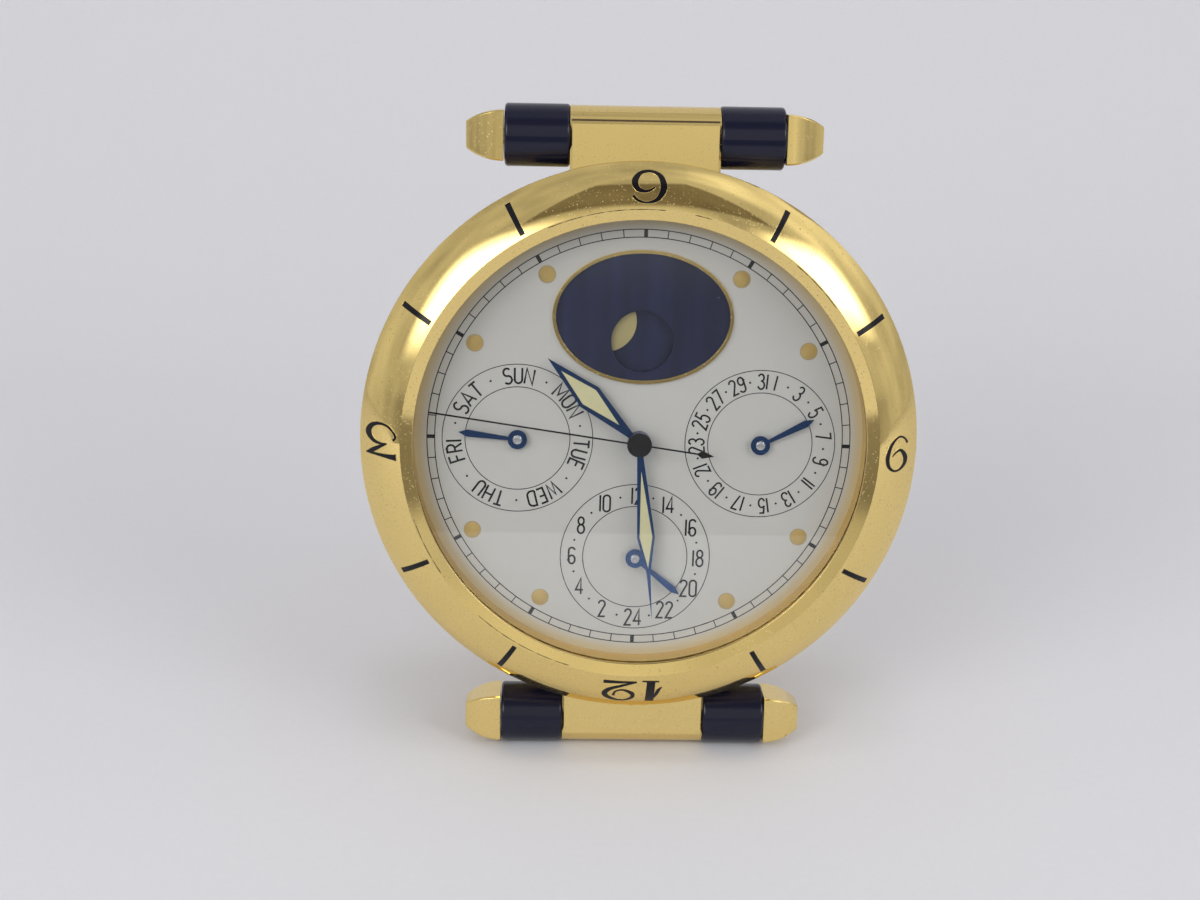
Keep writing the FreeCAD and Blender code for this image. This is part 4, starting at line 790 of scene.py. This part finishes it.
# Each numeral: the hours it stands at, its box (wide, tall) in mm as seen from the front, and
# its strokes as (across, up, width), across and up in shares of the box and widths in mm
NUMERALS = [
    (6, (5.5, 5.0), [
        [(0.95, 0.78, 0.36), (0.80, 0.91, 0.24), (0.54, 0.965, 0.20), (0.26, 0.86, 0.50),
         (0.09, 0.56, 0.92), (0.13, 0.27, 0.78), (0.28, 0.10, 0.40), (0.52, 0.04, 0.28),
         (0.76, 0.12, 0.52), (0.90, 0.34, 0.92), (0.83, 0.55, 0.64), (0.65, 0.63, 0.36),
         (0.47, 0.60, 0.20), (0.33, 0.50, 0.08)]]),
    (3, (5.3, 6.2), [
        [(0.05, 0.885, 0.90), (0.30, 0.875, 0.62), (0.60, 0.855, 0.40), (0.97, 0.84, 0.26)],
        [(0.03, 0.97, 0.10), (0.055, 0.88, 0.24), (0.045, 0.79, 0.12)],
        [(0.93, 0.85, 0.30), (0.78, 0.77, 0.62), (0.58, 0.665, 0.50), (0.31, 0.545, 0.10)],
        [(0.31, 0.545, 0.08), (0.52, 0.555, 0.30), (0.74, 0.50, 0.56), (0.90, 0.31, 0.92),
         (0.80, 0.12, 0.66), (0.56, 0.04, 0.38), (0.28, 0.09, 0.28), (0.08, 0.27, 0.26),
         (0.05, 0.37, 0.28), (0.12, 0.44, 0.34)]]),
    (9, (3.9, 6.0), [
        [(0.72, 0.57, 0.06), (0.55, 0.45, 0.24), (0.34, 0.415, 0.40), (0.12, 0.60, 0.70),
         (0.14, 0.80, 0.56), (0.38, 0.95, 0.30), (0.63, 0.965, 0.28), (0.86, 0.83, 0.50),
         (0.93, 0.60, 0.60), (0.82, 0.30, 0.46), (0.59, 0.09, 0.28), (0.37, 0.04, 0.24),
         (0.17, 0.11, 0.22), (0.05, 0.23, 0.30)]]),
    (12, (10.0, 4.75), [
        [(0.195, 0.98, 1.36), (0.19, 0.50, 1.34), (0.185, 0.04, 1.30)],
        [(0.16, 0.93, 0.10), (0.09, 0.62, 0.50), (0.055, 0.42, 0.46), (0.005, 0.28, 0.10)],
        [(0.05, 0.035, 0.18), (0.20, 0.045, 0.26), (0.33, 0.035, 0.16)],
        [(0.80, 0.72, 0.42), (0.765, 0.52, 0.26), (0.64, 0.44, 0.30), (0.49, 0.60, 0.66),
         (0.50, 0.82, 0.48), (0.66, 0.955, 0.26), (0.86, 0.84, 0.58), (0.945, 0.62, 0.86),
         (0.86, 0.40, 0.62), (0.66, 0.24, 0.40), (0.42, 0.08, 0.20)],
        [(0.42, 0.07, 0.16), (0.66, 0.09, 0.38), (0.97, 0.07, 0.56)]]),
]


NUMERAL_RADIUS = 41.35
ENAMEL_SPREAD = 0.08
RIM_SPREAD = 0.28


def bezel_numerals():
    """The numerals' enamel, and under it the gold rim that shows as a thin line round it."""
    slope = surface_of("bezel_ring", "bezel_enamel")
    rims = Ribbon("numeral_rims", "gold", "bezel", slope, below=0.05, above=0.015)
    enamel = Ribbon("bezel_numerals", "black_enamel", "bezel", slope, below=0.05, above=0.04)
    for hour, (wide, tall), strokes in NUMERALS:
        middle = clockwise(30 * hour, NUMERAL_RADIUS)
        for stroke in strokes:
            curve = flowing(stroke)
            points = [(-middle[0] - (across - 0.5) * wide, -middle[1] - (up - 0.5) * tall)
                      for across, up, width in curve]
            enamel.stroke(points, [width + ENAMEL_SPREAD for across, up, width in curve])
            rims.stroke(points, [width + RIM_SPREAD for across, up, width in curve])
    enamel.done()
    rims.done()


bezel_numerals()


# Small details, with painted shade round the round marks and at the tube's seam

DOT_HOURS = (1, 2, 4, 5, 7, 8, 10, 11)
DOT_RADIUS = 30.96
# The painted shadow ring round each round mark: its radius and width in mm
HALO_RADIUS = 1.3
HALO_WIDTH = 0.28

# How far each screw is turned; the slot's width in mm and its reach in shares of the head's;
# and how nearly a point lies one way from the dial's centre, as a cosine, to be of that screw
SCREW_TURNS = (35, 100, 10, 152)
SLOT_WIDTH = 0.4
SLOT_SHARE = 0.92
SAME_WAY = 0.8

# The painted shade line at the tube's seam: half its length, how far it lies above the bar's axis,
# and its width
SEAM_HALF = 11.6
SEAM_UP = 2.62
SEAM_WIDTH = 0.26
SEAM_STEPS = 24

# Where a thin dark line lies in the bezel's crest, in degrees clockwise from 12 o'clock, how far
# inside the crest's edge, and its width with how much that changes
DARK_LINE_ARCS = ((-24, 4), (11, 15), (38, 52), (196, 222), (236, 251))
DARK_LINE_INSET = 0.22
DARK_LINE_WIDTH = 0.1
DARK_LINE_CHANGE = 0.07
LEVEL_SLACK = 0.01


def dot_halos():
    """A painted shadow: a thin darker ring round each round mark."""
    halos = Ribbon("dot_halos", "painted_dot_shadow", "case")
    for hour in DOT_HOURS:
        halos.circle(*clockwise(30 * hour, DOT_RADIUS), HALO_RADIUS, HALO_WIDTH, sides=40)
    halos.done()


def screw_slots():
    """A slot across each screw head in the back."""
    corners = on_clock("back_screws")
    back = min(corner.z for corner in corners)
    slots = Ribbon("screw_slots", "seal_rubber", "case", lambda across, up: back, above=0.2)
    for quarter, turn in enumerate(SCREW_TURNS):
        way = Vector(clockwise(90 * quarter, 1.0))
        head = [corner.xy for corner in corners
                if corner.xy.dot(way) > corner.xy.length * SAME_WAY]
        middle = sum(head, Vector((0, 0))) / len(head)
        reach = max((corner - middle).length for corner in head) * SLOT_SHARE
        along = Vector(clockwise(90 * quarter + turn, reach))
        slots.stroke([middle - along, middle + along], SLOT_WIDTH)
    slots.done()


def tube_seam():
    """Painted shade: the dark line where the upper tube meets the outer edge of its block."""
    seam = Ribbon("top_seam_painted_shade", "grime", "case", surface_of("top_horn"), below=0.05)
    corners = on_clock("top_rollers")
    ends = []
    for side in (-1, 1):
        half = [corner.xy for corner in corners if corner.x * side > 0]
        ends.append(sum(half, Vector((0, 0))) / len(half))
    way = (ends[1] - ends[0]).normalized()
    middle = (ends[0] + ends[1]) / 2 + Vector((-way.y, way.x)) * SEAM_UP
    points = [middle + way * SEAM_HALF * (2 * step / SEAM_STEPS - 1)
              for step in range(SEAM_STEPS + 1)]
    seam.stroke(points, SEAM_WIDTH)
    seam.done()


def lip_grime():
    """A thin dark line in the seam inside the bezel's crest, here and there."""
    corners = on_clock("bezel_ring")
    top = max(corner.z for corner in corners)
    crest = max(corner.xy.length for corner in corners if corner.z > top - LEVEL_SLACK)
    seam = crest - DARK_LINE_INSET
    grime = Ribbon("lip_grime", "grime", "bezel", surface_of("bezel_ring"), below=0.04)
    for start, end in DARK_LINE_ARCS:
        points = []
        widths = []
        for step in range(end - start + 1):
            points.append(clockwise(start + step, seam))
            widths.append(DARK_LINE_WIDTH
                          + DARK_LINE_CHANGE * math.sin(1.9 * step) * math.cos(0.7 * step))
        grime.stroke(points, widths)
    grime.done()


dot_halos()
screw_slots()
tube_seam()
lip_grime()


# Small turned pieces

def turned_piece(name, finish, body, profile, across=0.0, up=0.0, steps=48):
    """A profile of (radius, level) points turned about an axis square to the dial."""
    mesh = bmesh.new()
    rows = []
    for radius, level in profile:
        if radius == 0.0:
            rows.append([mesh.verts.new((across, up, level))] * steps)
            continue
        rows.append([mesh.verts.new(clockwise(360 * step / steps, radius, across, up) + (level,))
                     for step in range(steps)])
    for low, high in zip(rows, rows[1:]):
        for step in range(steps):
            after = (step + 1) % steps
            corners = [low[step], low[after], high[after], high[step]]
            mesh.faces.new(list(dict.fromkeys(corners)))
    dress(meshed(name, mesh), name, finish, body, smooth=True)


# The cupped pin, from the hub's level up and in to its hollow, as (radius, level)
PIN_PROFILE = [(0.0, 1.0), (0.82, 1.0), (0.82, 1.12), (0.66, 1.30), (0.58, 1.31), (0.46, 1.24),
               (0.24, 1.27), (0.0, 1.30)]


def hand_pins():
    """The bright cupped pins on the arbors of the three small hands."""
    for body in ("day", "date", "hour24"):
        place = ON_CLOCK @ Vector(JOINTS[body + "_turn"]["pos_m"])
        turned_piece(body + "_pin", "steel", body, PIN_PROFILE, place.x, place.y)


hand_pins()


# Floor and backdrop: one sheet of pale paper that curves up behind the clock and ends at the
# table's edge in front.
# In metres: its front edge, where the bend starts, the bend's radius, its top and half its width
PAPER_FRONT = -0.42
PAPER_BEND = 0.14
PAPER_RADIUS = 0.25
PAPER_TOP = 1.1
PAPER_HALF = 1.0
PAPER_STEPS = 24
PAPER_TONES = (rgb(225, 225, 230), rgb(221, 221, 226))


def paper():
    profile = [(PAPER_FRONT, 0.0), (PAPER_BEND, 0.0)]
    for number in range(1, PAPER_STEPS + 1):
        angle = math.pi / 2 * number / PAPER_STEPS
        profile.append((PAPER_BEND + PAPER_RADIUS * math.sin(angle),
                        PAPER_RADIUS * (1 - math.cos(angle))))
    profile.append((PAPER_BEND + PAPER_RADIUS, PAPER_TOP))
    sheet = bmesh.new()
    rows = [[sheet.verts.new((side * PAPER_HALF, back, up)) for side in (-1, 1)]
            for back, up in profile]
    for near, far in zip(rows, rows[1:]):
        sheet.faces.new((near[0], near[1], far[1], far[0]))
    mesh = bpy.data.meshes.new("paper")
    sheet.to_mesh(mesh)
    sheet.free()
    for polygon in mesh.polygons:
        polygon.use_smooth = True
    made, shader, ports = material("paper", Specular_IOR_Level=0.2)
    fibres = shader.noise(object_place(shader), 900.0, detail=4.0)
    shader.feed(ports["Base Color"], shader.mix(fibres, *PAPER_TONES))
    shader.feed(ports["Roughness"], shader.between(fibres, 0.8, 0.9))
    mesh.materials.append(made)
    piece = bpy.data.objects.new("paper", mesh)
    bpy.context.scene.collection.objects.link(piece)


# Lamps and the room. A place in the room is its bearing from the front and its height, both in
# degrees. What shines is given as linear colours.

LAMP_FADE = 0.38
LAMP_DISTANCE = 0.8

# Name, bearing and height in the room, how wide and how tall in degrees, and glow
SOFT_BOXES = (("left_box", -40, 29, 50, 38, 4.4),
              ("right_box", 54, 30, 46, 32, 4.2))
# Name, place and target in metres, how wide and how tall in metres, and watts
BACKDROP_BOX = ("backdrop_box", (0.0, -0.05, 0.95), (0.0, 0.38, 0.3), 0.3, 0.2, 1.6)

WALLS = (0.55, 0.55, 0.55, 1.0)
FRONT_WALL = (0.66, 0.65, 0.62, 1.0)
HIGH_OPENING = (0.21, 0.19, 0.17, 1.0)
SIDE_WINDOW = (1.0, 1.0, 1.0, 1.0)
LOW_FRONT = (0.23, 0.22, 0.22, 1.0)

# Shade, bearings, heights, and how soft the sides and the ends are, in degrees
ROOM_PARTS = ((FRONT_WALL, (-24, 24), (3.5, 45), 2, 2),
              (HIGH_OPENING, (-37, 50), (47, 74), 1.5, 1.5),
              (SIDE_WINDOW, (74, 126), (27, 72), 9, 9),
              (LOW_FRONT, (-52, 52), (-60, 3.5), 24, 2))


def lamp(name, place, target, wide, tall, watts):
    """A soft box: bright in the middle and dimmer towards its edges."""
    data = bpy.data.lights.new(name, "AREA")
    data.shape = "RECTANGLE"
    data.size = wide
    data.size_y = tall
    data.energy = watts
    data.use_nodes = True
    shader = Shader(data.node_tree)
    way = shader.node("ShaderNodeSeparateXYZ")
    shader.feed(way.inputs[0], shader.node("ShaderNodeNewGeometry").outputs["Parametric"])
    shares = []
    for axis in ("X", "Y"):
        rise = shader.span(way.outputs[axis], 0.0, LAMP_FADE)
        fall = shader.span(way.outputs[axis], 1.0, 1.0 - LAMP_FADE)
        shares.append(shader.math("MULTIPLY", rise, fall))
    shader.feed(data.node_tree.nodes["Emission"].inputs["Strength"],
                shader.math("MULTIPLY", *shares))
    made = bpy.data.objects.new(name, data)
    made.location = place
    made.rotation_euler = (Vector(target) - Vector(place)).to_track_quat("-Z", "Y").to_euler()
    bpy.context.scene.collection.objects.link(made)
    return made


def soft_box(name, bearing, height, wide, tall, glow):
    """A lamp in a white box, shining at the dial from its place in the room."""
    turn, rise = math.radians(bearing), math.radians(height)
    place = Vector((math.sin(turn) * math.cos(rise), -math.cos(turn) * math.cos(rise),
                    math.sin(rise))) * LAMP_DISTANCE
    wide = 2 * LAMP_DISTANCE * math.tan(math.radians(wide) / 2)
    tall = 2 * LAMP_DISTANCE * math.tan(math.radians(tall) / 2)
    lamp(name, place + DIAL_CENTRE, DIAL_CENTRE, wide, tall, glow * math.pi * wide * tall)


def room():
    """The room round the table: grey walls, a dark opening high in front and a bright window
    at the right."""
    world = bpy.data.worlds.new("room")
    world.use_nodes = True
    shader = Shader(world.node_tree)
    ground = world.node_tree.nodes["Background"]
    every_way = shader.node("ShaderNodeTexCoord").outputs["Generated"]
    way = shader.node("ShaderNodeSeparateXYZ")
    shader.feed(way.inputs[0], every_way)
    forward = shader.math("MULTIPLY", way.outputs["Y"], -1.0)
    bearing = shader.math("DEGREES", shader.math("ARCTAN2", way.outputs["X"], forward))
    height = shader.math("DEGREES", shader.math("ARCSINE", way.outputs["Z"]))

    def within(value, limits, soft):
        low, high = limits
        return shader.math("SUBTRACT", shader.span(value, low - soft, low + soft),
                           shader.span(value, high - soft, high + soft))

    colour = WALLS
    for shade, bearings, heights, soft_sides, soft_ends in ROOM_PARTS:
        part = shader.math("MULTIPLY", within(bearing, bearings, soft_sides),
                           within(height, heights, soft_ends))
        colour = shader.mix(part, colour, shade)
    unevenness = shader.ramp(shader.noise(every_way, 2.6, detail=2.0), (0.3, 0.72), (0.7, 1.25))
    shader.feed(ground.inputs["Color"], shader.mix(1.0, colour, unevenness, "MULTIPLY"))
    ground.inputs["Strength"].default_value = 1.0
    bpy.context.scene.world = world


paper()
room()
for box in SOFT_BOXES:
    soft_box(*box)
lamp(*BACKDROP_BOX).visible_glossy = False
